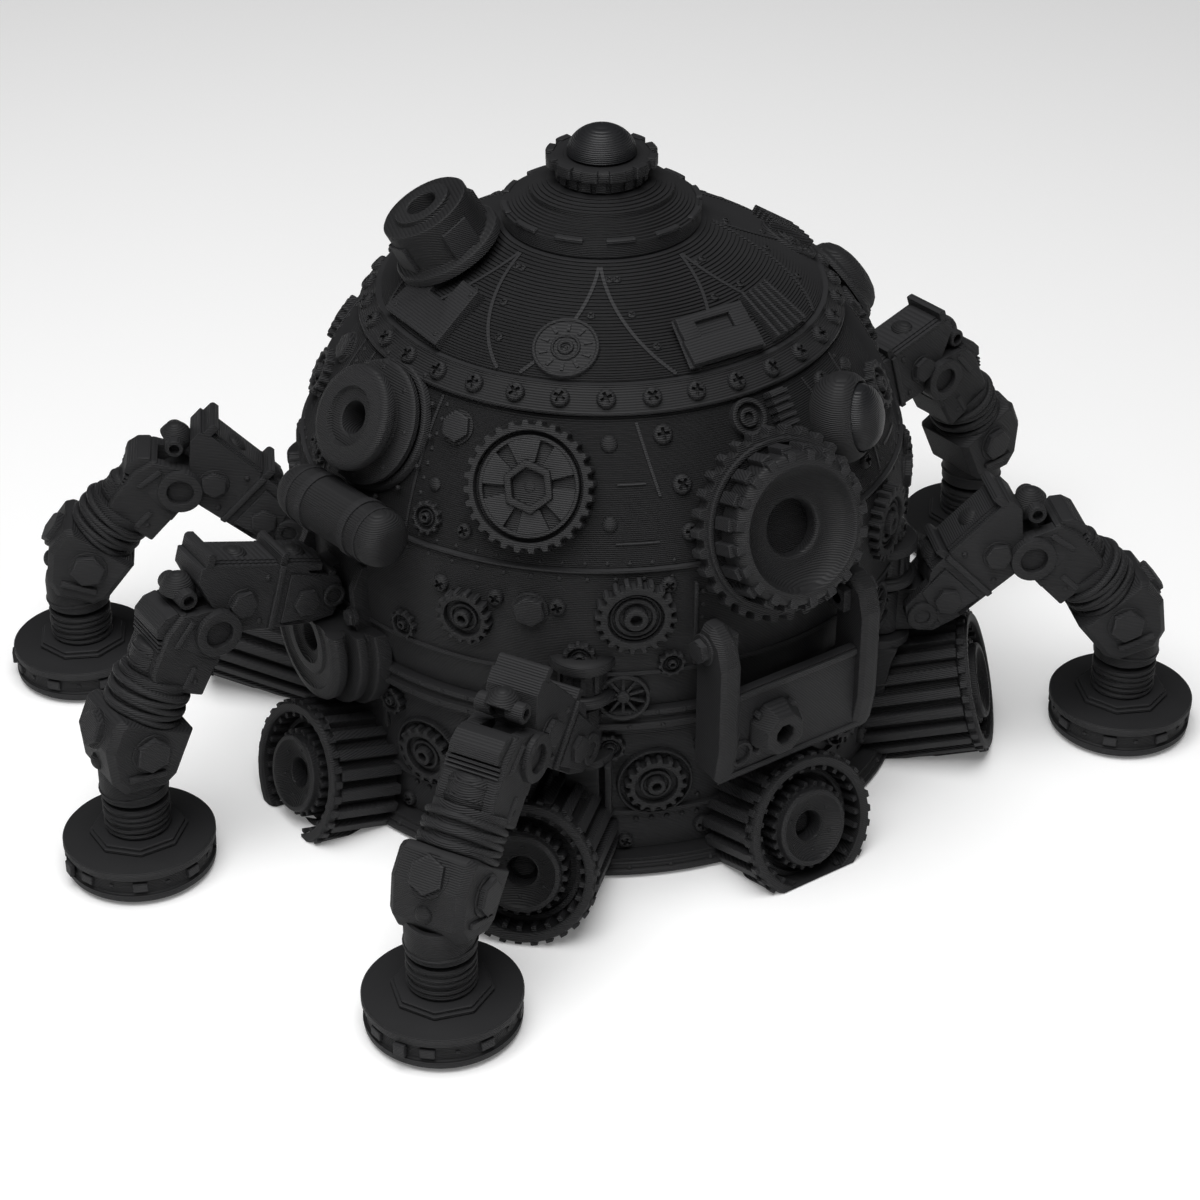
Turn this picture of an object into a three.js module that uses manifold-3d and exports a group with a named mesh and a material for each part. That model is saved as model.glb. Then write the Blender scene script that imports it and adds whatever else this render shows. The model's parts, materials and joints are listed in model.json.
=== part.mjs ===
// Hexapod spider robot: a domed drum body ringed by eight geared drums, carried by six jointed legs.
// Millimetres, +Z up. The robot faces -Y, its left side is +X, and the origin is on the ground under
// the body's own axis.
import * as THREE from 'three';
import { mergeVertices } from 'three/addons/utils/BufferGeometryUtils.js';
import Module from 'manifold-3d';

const wasm = await Module();
wasm.setup();

// ---- driving dimensions -------------------------------------------------------------------------

const GAP = 0.3; // between pieces that touch
const ROUND = 32; // sides of the body shells
const SMALL_ROUND = 12; // sides of small round pieces
const PIN_ROUND = 8; // sides of pins and their holes
const DEGREE = Math.PI / 180;

const BODY_RADIUS = 103.5; // sphere that the shells follow
const BODY_CENTRE = 90; // its height
const WALL = 3; // shell wall
const BELLY_RADIUS = 104;
const BELLY_HEIGHT = 6;
const HULL_RADIUS = 99;
const LEDGE_RADIUS = 103;
const LEDGE_BOTTOM = 55;
const DECK_BOTTOM = 61;
const DOME_BOTTOM = 114;
const BAND_BOTTOM = 157.7;
const BAND_TOP = 165.5;
const COLLAR_BOTTOM = 188;
const COLLAR_RADIUS = 32;
const COLLAR_TOP = 202;
const CUPOLA_TOP = 220;
const CUPOLA_BALL = 11.3;

// Eight geared drums stand out of the hull, cut flat where they would pass the ground. The four on the
// diagonals reach further than the four between them.
const DRUM_COUNT = 8;
const DRUM_TILT = 15;
const DRUM_RADIUS = 24;
const DRUM_RECESS = 20.5;
const DRUM_RECESS_DEPTH = 9;
const SHORT_DRUM = { distance: 123.3, height: 17.8, length: 27 };
const LONG_DRUM = { distance: 136, height: 24, length: 42 };
const DRUM_RING_X = -2.5; // the ring of drums stands a little to the robot's right
const HUB_ROOT = 13.2;
const HUB_TIP = 15;
const HUB_PIN = 3.4;

const FEMUR_REACH = 42; // hip lift pin to knee pin
const FEMUR_OFFSET = 15.7; // degrees between the femur's own axis and the pin line
const TIBIA_REACH = 59.3; // knee pin to ankle pin
const TIBIA_OFFSET = 4; // degrees between the tibia's own axis and the pin line
const LIFT_OUT = 12; // yaw pin to lift pin
const LINK_HALF = 9; // half width of femur and tibia
const LOWER_HALF = 13; // half width of the tibia's lower casing
const TONGUE_HALF = 4.6;
const FORK_HALF = TONGUE_HALF + 0.5;
const KNUCKLE = 8; // radius of the rounded pin eyes
const PIN = 3; // leg pin radius
const PIN_HOLE = PIN + 0.4;
const YAW_PIN = 4;
const SPOOL_RADIUS = 11;
const ANKLE_HEIGHT = 33.5;
const FOOT_RADIUS = 25;
const FOOT_HEIGHT = 13.1;
const SHAFT_RADIUS = 10.8;
const SHAFT_TOP = 26.5;
const SLEEVE_BOTTOM = 29.2;
const SLEEVE_RADIUS = 11;

// A leg stands on a vertical yaw pin at hip, and its foot rests at foot; both are given by their
// distance from the body axis and their bearing from +X. lift is the height of the hip lift pin.
const LEGS = [
  { name: 'front_left', hip: [99.4, -51.5], foot: [184, -39.7], lift: 57 },
  { name: 'middle_left', hip: [97, 2.5], foot: [180.3, 2.5], lift: 84.5 },
  { name: 'rear_left', hip: [104.7, 51.8], foot: [189.5, 41], lift: 57 },
  { name: 'rear_right', hip: [104.7, 128.2], foot: [189.5, 139], lift: 57 },
  { name: 'middle_right', hip: [97, 177.5], foot: [180.3, 177.5], lift: 84.5 },
  { name: 'front_right', hip: [99.4, -128.5], foot: [184, -140.3], lift: 57 },
];

// ---- materials ----------------------------------------------------------------------------------

const charcoal = () => new THREE.MeshStandardMaterial({ color: 0x2b2b2d, roughness: 0.72, metalness: 0 });
const graphite = () => new THREE.MeshStandardMaterial({ color: 0x1c1c1e, roughness: 0.62, metalness: 0 });
const smokedLens = () => new THREE.MeshStandardMaterial({ color: 0x303236, roughness: 0.3, metalness: 0 });
const boardGreen = () => new THREE.MeshStandardMaterial({ color: 0x1d4a2c, roughness: 0.55, metalness: 0 });
const cellBlue = () => new THREE.MeshStandardMaterial({ color: 0x27435f, roughness: 0.5, metalness: 0 });

// ---- solids -------------------------------------------------------------------------------------

// A closed three.js geometry as a manifold solid.
function solid(geometry) {
  geometry.deleteAttribute('normal');
  geometry.deleteAttribute('uv');
  const merged = mergeVertices(geometry, 1e-4);
  return new wasm.Manifold(new wasm.Mesh({
    numProp: 3,
    vertProperties: new Float32Array(merged.attributes.position.array),
    triVerts: new Uint32Array(merged.index.array),
  }));
}

const moved = (shape, x, y, z) => shape.translate([x, y, z]);
const turned = (shape, x, y, z) => shape.rotate([x, y, z]);
const joined = (shapes) => shapes.reduce((whole, shape) => whole.add(shape));
const cut = (shape, tools) => tools.reduce((rest, tool) => rest.subtract(tool), shape);

const block = (width, depth, height) => solid(new THREE.BoxGeometry(width, depth, height));

// A block given by its lowest and highest corners.
function blockBetween(low, high) {
  const size = high.map((value, axis) => value - low[axis]);
  return moved(block(...size), ...low.map((value, axis) => value + size[axis] / 2));
}

// An upright drum that stands on z = 0.
function drum(radius, height, sides = SMALL_ROUND, topRadius = radius) {
  const shape = new THREE.CylinderGeometry(topRadius, radius, height, sides);
  return moved(turned(solid(shape), 90, 0, 0), 0, 0, height / 2);
}

// A drum along Y, centred on the origin: leg pins and pin eyes.
const pin = (radius, half, sides = PIN_ROUND) =>
  turned(moved(drum(radius, half * 2, sides), 0, 0, -half), 90, 0, 0);

// A profile of [radius, height] points turned about Z.
function lathe(profile, sides = ROUND) {
  const points = [...profile, profile[0]].map(([radius, height]) => new THREE.Vector2(radius, height));
  return turned(solid(new THREE.LatheGeometry(points, sides)), 90, 0, 0);
}

// An outline in X and Z pushed out to both sides of Y = 0.
function slab(outline, half) {
  const shape = new THREE.Shape(outline.map(([x, z]) => new THREE.Vector2(x, z)));
  const geometry = new THREE.ExtrudeGeometry(shape, { depth: half * 2, bevelEnabled: false });
  return turned(moved(solid(geometry), 0, 0, -half), 90, 0, 0);
}

// A gear outline: straight teeth round a rim.
function gear(tipRadius, rootRadius, teeth, height) {
  const outline = [];
  for (let tooth = 0; tooth < teeth; tooth += 1) {
    const start = (tooth / teeth) * 2 * Math.PI;
    const step = (2 * Math.PI) / teeth;
    [[rootRadius, 0], [rootRadius, 0.42], [tipRadius, 0.54], [tipRadius, 0.88]].forEach(([radius, part]) => {
      const angle = start + part * step;
      outline.push(new THREE.Vector2(radius * Math.cos(angle), radius * Math.sin(angle)));
    });
  }
  return solid(new THREE.ExtrudeGeometry(new THREE.Shape(outline), { depth: height, bevelEnabled: false }));
}

// A ring of count copies of a shape round Z.
function ring(shape, count) {
  return joined(Array.from({ length: count }, (_, index) => turned(shape, 0, 0, (index * 360) / count)));
}

// ---- placing ------------------------------------------------------------------------------------

const robot = new THREE.Group();

// The solid as a named mesh in a group, under the robot unless a parent is given.
function addPiece(name, shape, material, parent = robot) {
  const mesh = shape.getMesh();
  const geometry = new THREE.BufferGeometry();
  geometry.setAttribute('position', new THREE.BufferAttribute(new Float32Array(mesh.vertProperties), 3));
  geometry.setIndex(new THREE.BufferAttribute(new Uint32Array(mesh.triVerts), 1));
  geometry.computeVertexNormals();
  const piece = new THREE.Mesh(geometry, material);
  piece.name = name;
  parent.add(piece);
}

// Radius of the body sphere at a height.
const sphereRadius = (height, radius = BODY_RADIUS) => Math.sqrt(radius ** 2 - (height - BODY_CENTRE) ** 2);

// A shape built on local +Z, moved to a point of the body sphere so that +Z looks outwards.
// azimuth is measured from +X, elevation from the sphere's centre, lift is the height over the skin.
function onBody(shape, azimuth, elevation, lift = 0) {
  const tipped = turned(moved(shape, 0, 0, BODY_RADIUS + lift), 0, 90 - elevation, 0);
  return moved(turned(tipped, 0, 0, azimuth), 0, 0, BODY_CENTRE);
}

// ---- body shells --------------------------------------------------------------------------------

// Where each fitting passes through the shells, and the radius of its hole.
const FAN = { azimuth: -138.7, elevation: 27.6, socket: 16.5 };
const UPPER_PORT = { azimuth: -176.5, elevation: 30, socket: 15 };
const WHEEL = { azimuth: -92.3, elevation: 17.8, socket: 9 };
const SENSOR_DOME = { azimuth: -9, elevation: 31.5, socket: 10 };
const NOZZLE = { azimuth: 160, elevation: 61.5, socket: 12 };
const FRONT_HATCH = { azimuth: -92, elevation: 51.6 };
const TANK = { azimuth: -173, distance: 110.5, height: 119 };
const LAMP = { azimuth: -68.2, elevation: 29.2, distance: 104.6, aimAzimuth: -56, aimElevation: 12 };

const socketHole = ({ azimuth, elevation, socket }) =>
  onBody(drum(socket + 0.2, 24, 20), azimuth, elevation, -16);

// A ring of the spherical skin between two heights.
function skin(bottom, top, steps) {
  const profile = [];
  for (let step = 0; step <= steps; step += 1) {
    const height = bottom + ((top - bottom) * step) / steps;
    profile.push([sphereRadius(height), height]);
  }
  for (let step = steps; step >= 0; step -= 1) {
    const height = bottom + ((top - bottom) * step) / steps;
    profile.push([sphereRadius(height) - WALL - 0.02 * Math.abs(height - BODY_CENTRE), height]);
  }
  return lathe(profile);
}

// X and Y of a point given by its distance from the body axis and its bearing from +X.
function bearing([distance, angle]) {
  return [distance * Math.cos(angle * DEGREE), distance * Math.sin(angle * DEGREE)];
}

// The opening in the shells that a hip swings in, and the shelf that holds its yaw pin.
const SHELF_BELOW = 8.6; // shelf top under the lift pin
const SHELF_THICKNESS = 3;
const HIP_ROOM = 15; // half width of the opening

function hipOpening(leg) {
  const room = blockBetween([-14, -HIP_ROOM, -SHELF_BELOW], [30, HIP_ROOM, hipHeadroom(leg)]);
  const [x, y] = bearing(leg.hip);
  return moved(turned(room, 0, 0, leg.hip[1]), x, y, leg.lift);
}

function hipShelf(leg) {
  const inner = 91 - leg.hip[0];
  const plate = blockBetween([inner, -10, -SHELF_THICKNESS], [7, 10, 0]);
  const eye = moved(drum(10, SHELF_THICKNESS), 0, 0, -SHELF_THICKNESS);
  const [x, y] = bearing(leg.hip);
  return moved(turned(plate.add(eye), 0, 0, leg.hip[1]), x, y, leg.lift - SHELF_BELOW);
}

function yawPinHole(leg) {
  const [x, y] = bearing(leg.hip);
  return moved(drum(YAW_PIN + 0.4, 12), x, y, leg.lift - SHELF_BELOW - 9);
}

const isLow = (leg) => leg.lift < DECK_BOTTOM;
const lowLegs = LEGS.filter(isLow);
const highLegs = LEGS.filter((leg) => !isLow(leg));

// Room above the lift pin: a low hip carries its yaw spool there.
const hipHeadroom = (leg) => (isLow(leg) ? 33 : 15);

function bellyPlate() {
  return lathe([
    [0, 0], [BELLY_RADIUS - 2, 0], [BELLY_RADIUS, 2], [BELLY_RADIUS, BELLY_HEIGHT], [0, BELLY_HEIGHT],
  ]);
}

function lowerHull() {
  const inside = HULL_RADIUS - WALL;
  const hull = lathe([
    [inside, BELLY_HEIGHT + GAP], [HULL_RADIUS, BELLY_HEIGHT + GAP], [HULL_RADIUS, LEDGE_BOTTOM],
    [LEDGE_RADIUS, LEDGE_BOTTOM + 1], [LEDGE_RADIUS, DECK_BOTTOM - GAP], [inside, DECK_BOTTOM - GAP],
  ]);
  const belowDrums = blockBetween([-200, -200, -60], [200, 200, 0]);
  const bellyRoom = moved(drum(BELLY_RADIUS + GAP, BELLY_HEIGHT + GAP, ROUND), 0, 0, 0);
  const hollow = moved(drum(inside, 80, ROUND), 0, 0, -20);
  const drums = cut(joined(drumPlaces().map(gearedDrum)), [belowDrums, bellyRoom, hollow]);
  const shell = cut(hull, lowLegs.map(hipOpening));
  return cut(joined([shell, ...lowLegs.map(hipShelf), drums]), lowLegs.map(yawPinHole));
}

function gearDeck() {
  const shell = cut(skin(DECK_BOTTOM, DOME_BOTTOM - GAP, 3), [...LEGS.map(hipOpening), socketHole(WHEEL)]);
  const lug = (side) => blockBetween([-1.5, -4.5, -4], [1.5, 12.5, 4])
    .translate([SCOOP_X + side * (SCOOP_HALF - 8.9), ...SCOOP_PIVOT]);
  const pinHoles = moved(turned(pin(SCOOP_PIN + 0.4, 40), 0, 0, 90), 0, SCOOP_PIVOT[0], SCOOP_PIVOT[1]);
  const deck = joined([shell, ...highLegs.map(hipShelf), lug(1), lug(-1)]);
  return cut(deck, [...highLegs.map(yawPinHole), pinHoles]);
}

function domeShell() {
  return cut(skin(DOME_BOTTOM, BAND_BOTTOM - GAP, 3), [
    socketHole(FAN), socketHole(UPPER_PORT), socketHole(SENSOR_DOME), socketHole(WHEEL),
    lampPlace(lampEgg(0.6)),
  ]);
}

function screwBand() {
  return lathe([[75, BAND_BOTTOM], [79.6, BAND_BOTTOM], [73.2, BAND_TOP - GAP], [69, BAND_TOP - GAP]]);
}

// The dome cap bulges from the band to the collar.
function domeCap() {
  const rise = COLLAR_BOTTOM - GAP - BAND_TOP;
  const outside = (part) => [72 - 39 * part ** 1.35, BAND_TOP + rise * part];
  const steps = 4;
  const outer = Array.from({ length: steps + 1 }, (_, step) => outside(step / steps));
  const inner = outer.map(([radius, height]) => [radius - WALL - 1, height]).reverse();
  return cut(lathe([...outer, ...inner]), [socketHole(NOZZLE)]);
}

function topCollar() {
  const collar = lathe([
    [0, COLLAR_BOTTOM], [COLLAR_RADIUS, COLLAR_BOTTOM], [COLLAR_RADIUS, 194.6], [29.6, 194.6],
    [23.5, 197.4], [23.5, 199.6], [16, COLLAR_TOP], [0, COLLAR_TOP],
  ], 24);
  const bearingHole = moved(drum(5.4, 20), 0, 0, COLLAR_TOP - 8);
  return collar.subtract(bearingHole);
}

function cupolaRing() {
  const stem = moved(drum(5, 9), 0, 0, COLLAR_TOP - 7);
  const neck = moved(drum(14, 4.7), 0, 0, COLLAR_TOP + GAP);
  const rim = moved(gear(16.8, 15, 12, 3.7), 0, 0, 206.8);
  return joined([stem, neck, rim]);
}

function cupolaLens() {
  const low = 210.5 + GAP;
  const steps = 5;
  const profile = [[0, low]];
  for (let step = 0; step <= steps; step += 1) {
    const angle = (step / steps) * 90 * DEGREE;
    profile.push([CUPOLA_BALL * Math.cos(angle), low + (CUPOLA_TOP - low) * Math.sin(angle)]);
  }
  return lathe(profile, 24);
}

// ---- fittings -----------------------------------------------------------------------------------

function fanRing() {
  const rim = gear(20.6, 18.9, 16, 4.2).subtract(moved(drum(17.2, 8, 20), 0, 0, 1.2));
  const back = moved(drum(FAN.socket - GAP, 8), 0, 0, -7.5);
  const axleHole = moved(drum(2.4, 20, 12), 0, 0, -10);
  return onBody(rim.add(back).subtract(axleHole), FAN.azimuth, FAN.elevation, 0.3);
}

function fanRotor() {
  const blade = moved(block(9.5, 5.2, 0.9), 11, 0, 0).rotate([20, 0, 0]);
  const blades = moved(ring(blade, 6), 0, 0, 2.9);
  const hub = moved(drum(8, 3.4), 0, 0, 1.7);
  const axle = moved(drum(2, 12, 12), 0, 0, -9);
  return onBody(joined([hub, axle, blades]), FAN.azimuth, FAN.elevation, 0.3);
}

// A stepped round port with a hole down its middle.
function upperPort() {
  const { azimuth, elevation, socket } = UPPER_PORT;
  const shape = lathe([
    [5, -8], [socket - GAP, -8], [socket - GAP, 1.6], [20, 1.6], [20, 5], [14, 6], [14, 9], [16.8, 9.5],
    [16.8, 13.5], [5, 13.5],
  ], 20);
  return onBody(shape, azimuth, elevation, GAP);
}

// The stepped boss on a middle hip: a flanged drum on the shell's side, cut open for the hip above.
function hipBoss(leg) {
  const boss = lathe([
    [4.5, 103.9], [21.5, 103.9], [21.5, 106.5], [17, 107], [17, 109.5], [21.3, 110], [21.3, 114], [18, 116],
    [4.5, 113],
  ], 18);
  const [, azimuth] = leg.hip;
  const placed = moved(turned(turned(boss, 0, 90, 0), 0, 0, azimuth), 0, 0, leg.lift - 13.5);
  return placed.subtract(hipOpening(leg)).subtract(yawPinHole(leg)).subtract(shelfRoom(leg));
}

// What a hip's shelf takes up, with the gap round it.
function shelfRoom(leg) {
  const [x, y] = bearing(leg.hip);
  const room = moved(drum(10 + GAP, SHELF_THICKNESS + 2 * GAP), 0, 0, -SHELF_THICKNESS - GAP);
  const neck = blockBetween([-14, -10 - GAP, -SHELF_THICKNESS - GAP], [7 + GAP, 10 + GAP, GAP]);
  return moved(turned(room.add(neck), 0, 0, leg.hip[1]), x, y, leg.lift - SHELF_BELOW);
}

// A capsule that lies level along the body's side.
function sideTank() {
  const radius = 9.5;
  const half = 18;
  const steps = 3;
  const profile = [[0, -half - radius]];
  for (let step = 1; step <= steps; step += 1) {
    const angle = (step / steps) * 90 * DEGREE;
    profile.push([radius * Math.sin(angle), -half - radius * Math.cos(angle)]);
  }
  const upper = profile.map(([distance, height]) => [distance, -height]).reverse();
  const capsule = turned(lathe([...profile, ...upper], 16), 90, 0, 0);
  const foot = moved(block(6, 20, 5), -7.6, 0, 0);
  const tank = moved(capsule.add(foot), TANK.distance, 0, TANK.height);
  return turned(tank, 0, 0, TANK.azimuth);
}

// A shape built round the lamp's own axis, moved to the lamp's place and aimed.
function lampPlace(shape) {
  const aimed = turned(turned(shape, 0, 90 - LAMP.aimElevation, 0), 0, 0, LAMP.aimAzimuth);
  const out = LAMP.distance * Math.cos(LAMP.elevation * DEGREE);
  const [x, y] = bearing([out, LAMP.azimuth]);
  return moved(aimed, x, y, BODY_CENTRE + LAMP.distance * Math.sin(LAMP.elevation * DEGREE));
}

const lampEgg = (grown) => lathe([
  [0, -12 - grown], [8 + grown, -10.5 - grown], [12.6 + grown, -6], [14.8 + grown, 0], [14.4 + grown, 4],
  [13 + grown, 5.5 + grown], [0, 5.5 + grown],
], 20);

const headlampHousing = () => lampPlace(lampEgg(0));

const headlampLens = () => lampPlace(lathe([
  [0, 5.5 + GAP], [11, 5.5 + GAP], [10, 9], [7.5, 11.6], [4, 13], [0, 13.5],
], 20));

function sensorDome() {
  const { azimuth, elevation, socket } = SENSOR_DOME;
  const shape = lathe([
    [0, -7], [socket - GAP, -7], [socket - GAP, 1.6], [16.2, 1.6], [16.2, 3.8], [14.5, 4.4], [13.5, 7.6],
    [9.5, 10.4], [4.5, 11.6], [0, 11.6],
  ], 20);
  return onBody(shape, azimuth, elevation, GAP);
}

function nozzle() {
  const { azimuth, elevation, socket } = NOZZLE;
  const shape = lathe([
    [5.5, -8], [socket - GAP, -8], [socket - GAP, 1.6], [18, 1.6], [18, 4], [13, 5], [14, 13], [14, 19],
    [9, 20], [5.5, 17],
  ], 20);
  return onBody(shape, azimuth, elevation, GAP);
}

// The front hatch cover: a flat plate with a viewing slot, standing on the dome.
function frontHatch() {
  const plate = moved(block(17, 29, 3), 0, 0, 1.8);
  const slot = moved(block(5, 13, 3), -3, 0, 4.2);
  return onBody(plate.subtract(slot), FRONT_HATCH.azimuth, FRONT_HATCH.elevation, 1.6);
}

function frontSprocket() {
  const teeth = gear(31, 28.6, 18, 5);
  const axle = moved(drum(6, 12), 0, 0, -11);
  return onBody(teeth.add(axle), WHEEL.azimuth, WHEEL.elevation, 0.5);
}

function frontWheel() {
  const tyre = lathe([[0, 6], [23.6, 6], [23.6, 15], [20, 17], [9, 11], [9, 8], [0, 8]], 24);
  const cleats = ring(moved(block(3.6, 5, 8.2), 24.2, 0, 10.4), 12);
  return onBody(tyre.add(cleats), WHEEL.azimuth, WHEEL.elevation, 0.5);
}

// ---- front scoop --------------------------------------------------------------------------------

const SCOOP_PIVOT = [-107, 91]; // y and z of its hinge pins
const SCOOP_PIN = 2.5;
const SCOOP_HALF = 31.5;
const SCOOP_X = -4.5; // its middle

function frontScoop() {
  const frontWall = blockBetween([-SCOOP_HALF + 4, -114.4, 43], [SCOOP_HALF - 4, -111.2, 75]);
  const armShape = slab([
    [-4.1, -46], [7.4, -48], [9.5, -36], [10, -4], [7, 5], [2, 8.5], [-2, 8.5], [-4.1, 4],
  ], 3.2);
  const arm = (side) =>
    moved(turned(armShape, 0, 0, -90), side * (SCOOP_HALF - 3.5), SCOOP_PIVOT[0], SCOOP_PIVOT[1]);
  const hingePin = (side) =>
    moved(turned(pin(SCOOP_PIN, 4), 0, 0, 90), side * (SCOOP_HALF - 6), SCOOP_PIVOT[0], SCOOP_PIVOT[1]);
  const knob = moved(turned(drum(7, 6, 8), 90, 0, 0), -9, -113, 57);
  return joined([frontWall, arm(1), arm(-1), hingePin(1), hingePin(-1), knob]).translate([SCOOP_X, 0, 0]);
}

// ---- geared drums -------------------------------------------------------------------------------

function drumPlaces() {
  const step = 360 / DRUM_COUNT;
  return Array.from({ length: DRUM_COUNT }, (_, index) => {
    const size = index % 2 === 0 ? SHORT_DRUM : LONG_DRUM;
    return { azimuth: index * step, ...size };
  });
}

// A shape built on local +Z with the drum's face at z = 0, moved to a drum's place.
function atDrum(shape, { azimuth, distance, height }) {
  const tipped = moved(turned(shape, 0, 90 - DRUM_TILT, 0), distance, 0, height);
  return moved(turned(tipped, 0, 0, azimuth), DRUM_RING_X, 0, 0);
}

// A drum whose face is open round a pin for its toothed hub.
function gearedDrum(place) {
  const barrel = lathe([
    [0, -place.length], [DRUM_RADIUS - 2, -place.length], [DRUM_RADIUS, -3], [DRUM_RADIUS, 0],
    [DRUM_RECESS, 0], [DRUM_RECESS, -DRUM_RECESS_DEPTH], [HUB_PIN, -DRUM_RECESS_DEPTH], [HUB_PIN, -4.5],
    [0, -4.5],
  ], 16);
  return atDrum(barrel, place);
}

function drumHub(place) {
  const thickness = 6.5;
  const wheel = moved(gear(HUB_TIP, HUB_ROOT, 10, thickness), 0, 0, -thickness - 1.2);
  const bore = moved(drum(HUB_PIN + 0.4, 12), 0, 0, -10);
  return atDrum(wheel.subtract(bore), place);
}

// ---- legs ---------------------------------------------------------------------------------------

// Pin places and rest angles of a leg, in its own frame: x along the leg's heading from the yaw pin.
function legPose(leg) {
  const [hipX, hipY] = bearing(leg.hip);
  const [footX, footY] = bearing(leg.foot);
  const heading = Math.atan2(footY - hipY, footX - hipX);
  const footOut = Math.hypot(footX - hipX, footY - hipY);
  const across = footOut - LIFT_OUT;
  const down = ANKLE_HEIGHT - leg.lift;
  const span = Math.hypot(across, down);
  const slope = Math.atan2(down, across);
  const bend = Math.acos((FEMUR_REACH ** 2 + span ** 2 - TIBIA_REACH ** 2) / (2 * FEMUR_REACH * span));
  const femurSlope = slope + bend;
  const knee = [LIFT_OUT + FEMUR_REACH * Math.cos(femurSlope), leg.lift + FEMUR_REACH * Math.sin(femurSlope)];
  const tibiaSlope = Math.atan2(ANKLE_HEIGHT - knee[1], footOut - knee[0]);
  return { hipX, hipY, heading, footOut, knee, femurSlope, tibiaSlope };
}

// A shape drawn along +X, turned to a slope in the leg's plane and moved to a pin.
const alongLink = (shape, slope, [x, z]) => moved(turned(shape, 0, -slope / DEGREE, 0), x, 0, z);

// The yaw post with its tongue for the femur's fork. A low hip has a flanged spool on top.
function coxa(leg) {
  const knuckle = moved(pin(KNUCKLE, TONGUE_HALF, 12), LIFT_OUT, 0, leg.lift);
  const low = leg.lift - KNUCKLE;
  const web = blockBetween([-5, -TONGUE_HALF, low], [LIFT_OUT, TONGUE_HALF, leg.lift + KNUCKLE]);
  const foot = moved(drum(YAW_PIN, 8, PIN_ROUND), 0, 0, low - 7);
  const post = moved(drum(5, 2 * KNUCKLE), 0, 0, low);
  const eye = moved(pin(PIN_HOLE, TONGUE_HALF + 1), LIFT_OUT, 0, leg.lift);
  const spool = moved(lathe([
    [0, -0.5], [5, -0.5], [5, 2], [SPOOL_RADIUS, 3.5], [SPOOL_RADIUS, 6], [8, 7], [8, 15],
    [SPOOL_RADIUS, 16], [SPOOL_RADIUS, 19.5], [0, 21],
  ], 14), 0, 0, leg.lift + KNUCKLE);
  const pieces = [knuckle, web, post, foot];
  return joined(isLow(leg) ? [...pieces, spool] : pieces).subtract(eye);
}

// The femur lies above the line of its pins. Its outer end is cut on a slant, where the tibia meets it.
function femur(leg, pose) {
  const bodySlope = pose.femurSlope + FEMUR_OFFSET * DEGREE;
  const kneeAlong = FEMUR_REACH * Math.cos(FEMUR_OFFSET * DEGREE);
  const kneeBelow = -FEMUR_REACH * Math.sin(FEMUR_OFFSET * DEGREE);
  const casing = slab([
    [0, -8], [12, -11.5], [34, -11.5], [kneeAlong - 1, kneeBelow + 1], [48.5, 6], [48.5, 11], [21, 11],
    [7, 2], [0, 8], [-5, 6], [-8, 0], [-5, -6],
  ], LINK_HALF);
  const ribs = [[20, 22.6], [45.4, 48.5]].map(([from, to]) =>
    blockBetween([from, -LINK_HALF, 9], [to, LINK_HALF, 14.5]));
  const slot = blockBetween([-30, -FORK_HALF, -30], [2, FORK_HALF, 30]);
  const hipRoom = pin(KNUCKLE + 1.2, FORK_HALF).add(slot);
  const kneeRoom = moved(pin(KNUCKLE + 0.7, LINK_HALF + 1), kneeAlong, 0, kneeBelow);
  const tongue = moved(pin(KNUCKLE - 0.6, TONGUE_HALF), kneeAlong, 0, kneeBelow);
  const arm = slab([[28, -11], [28, 6], [kneeAlong + 2, 0], [kneeAlong, kneeBelow - 5]], TONGUE_HALF);
  const kneePin = moved(pin(PIN, LINK_HALF - 0.4), kneeAlong, 0, kneeBelow);
  const hipPin = pin(PIN, LINK_HALF - 1);
  const body = cut(joined([casing, ...ribs]), [hipRoom, kneeRoom]);
  return alongLink(joined([body, tongue, arm, kneePin, hipPin]), bodySlope, [LIFT_OUT, leg.lift]);
}

const TIBIA_CENTRE = 10.5; // its casing's middle line lies this far outside the knee pin

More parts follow.
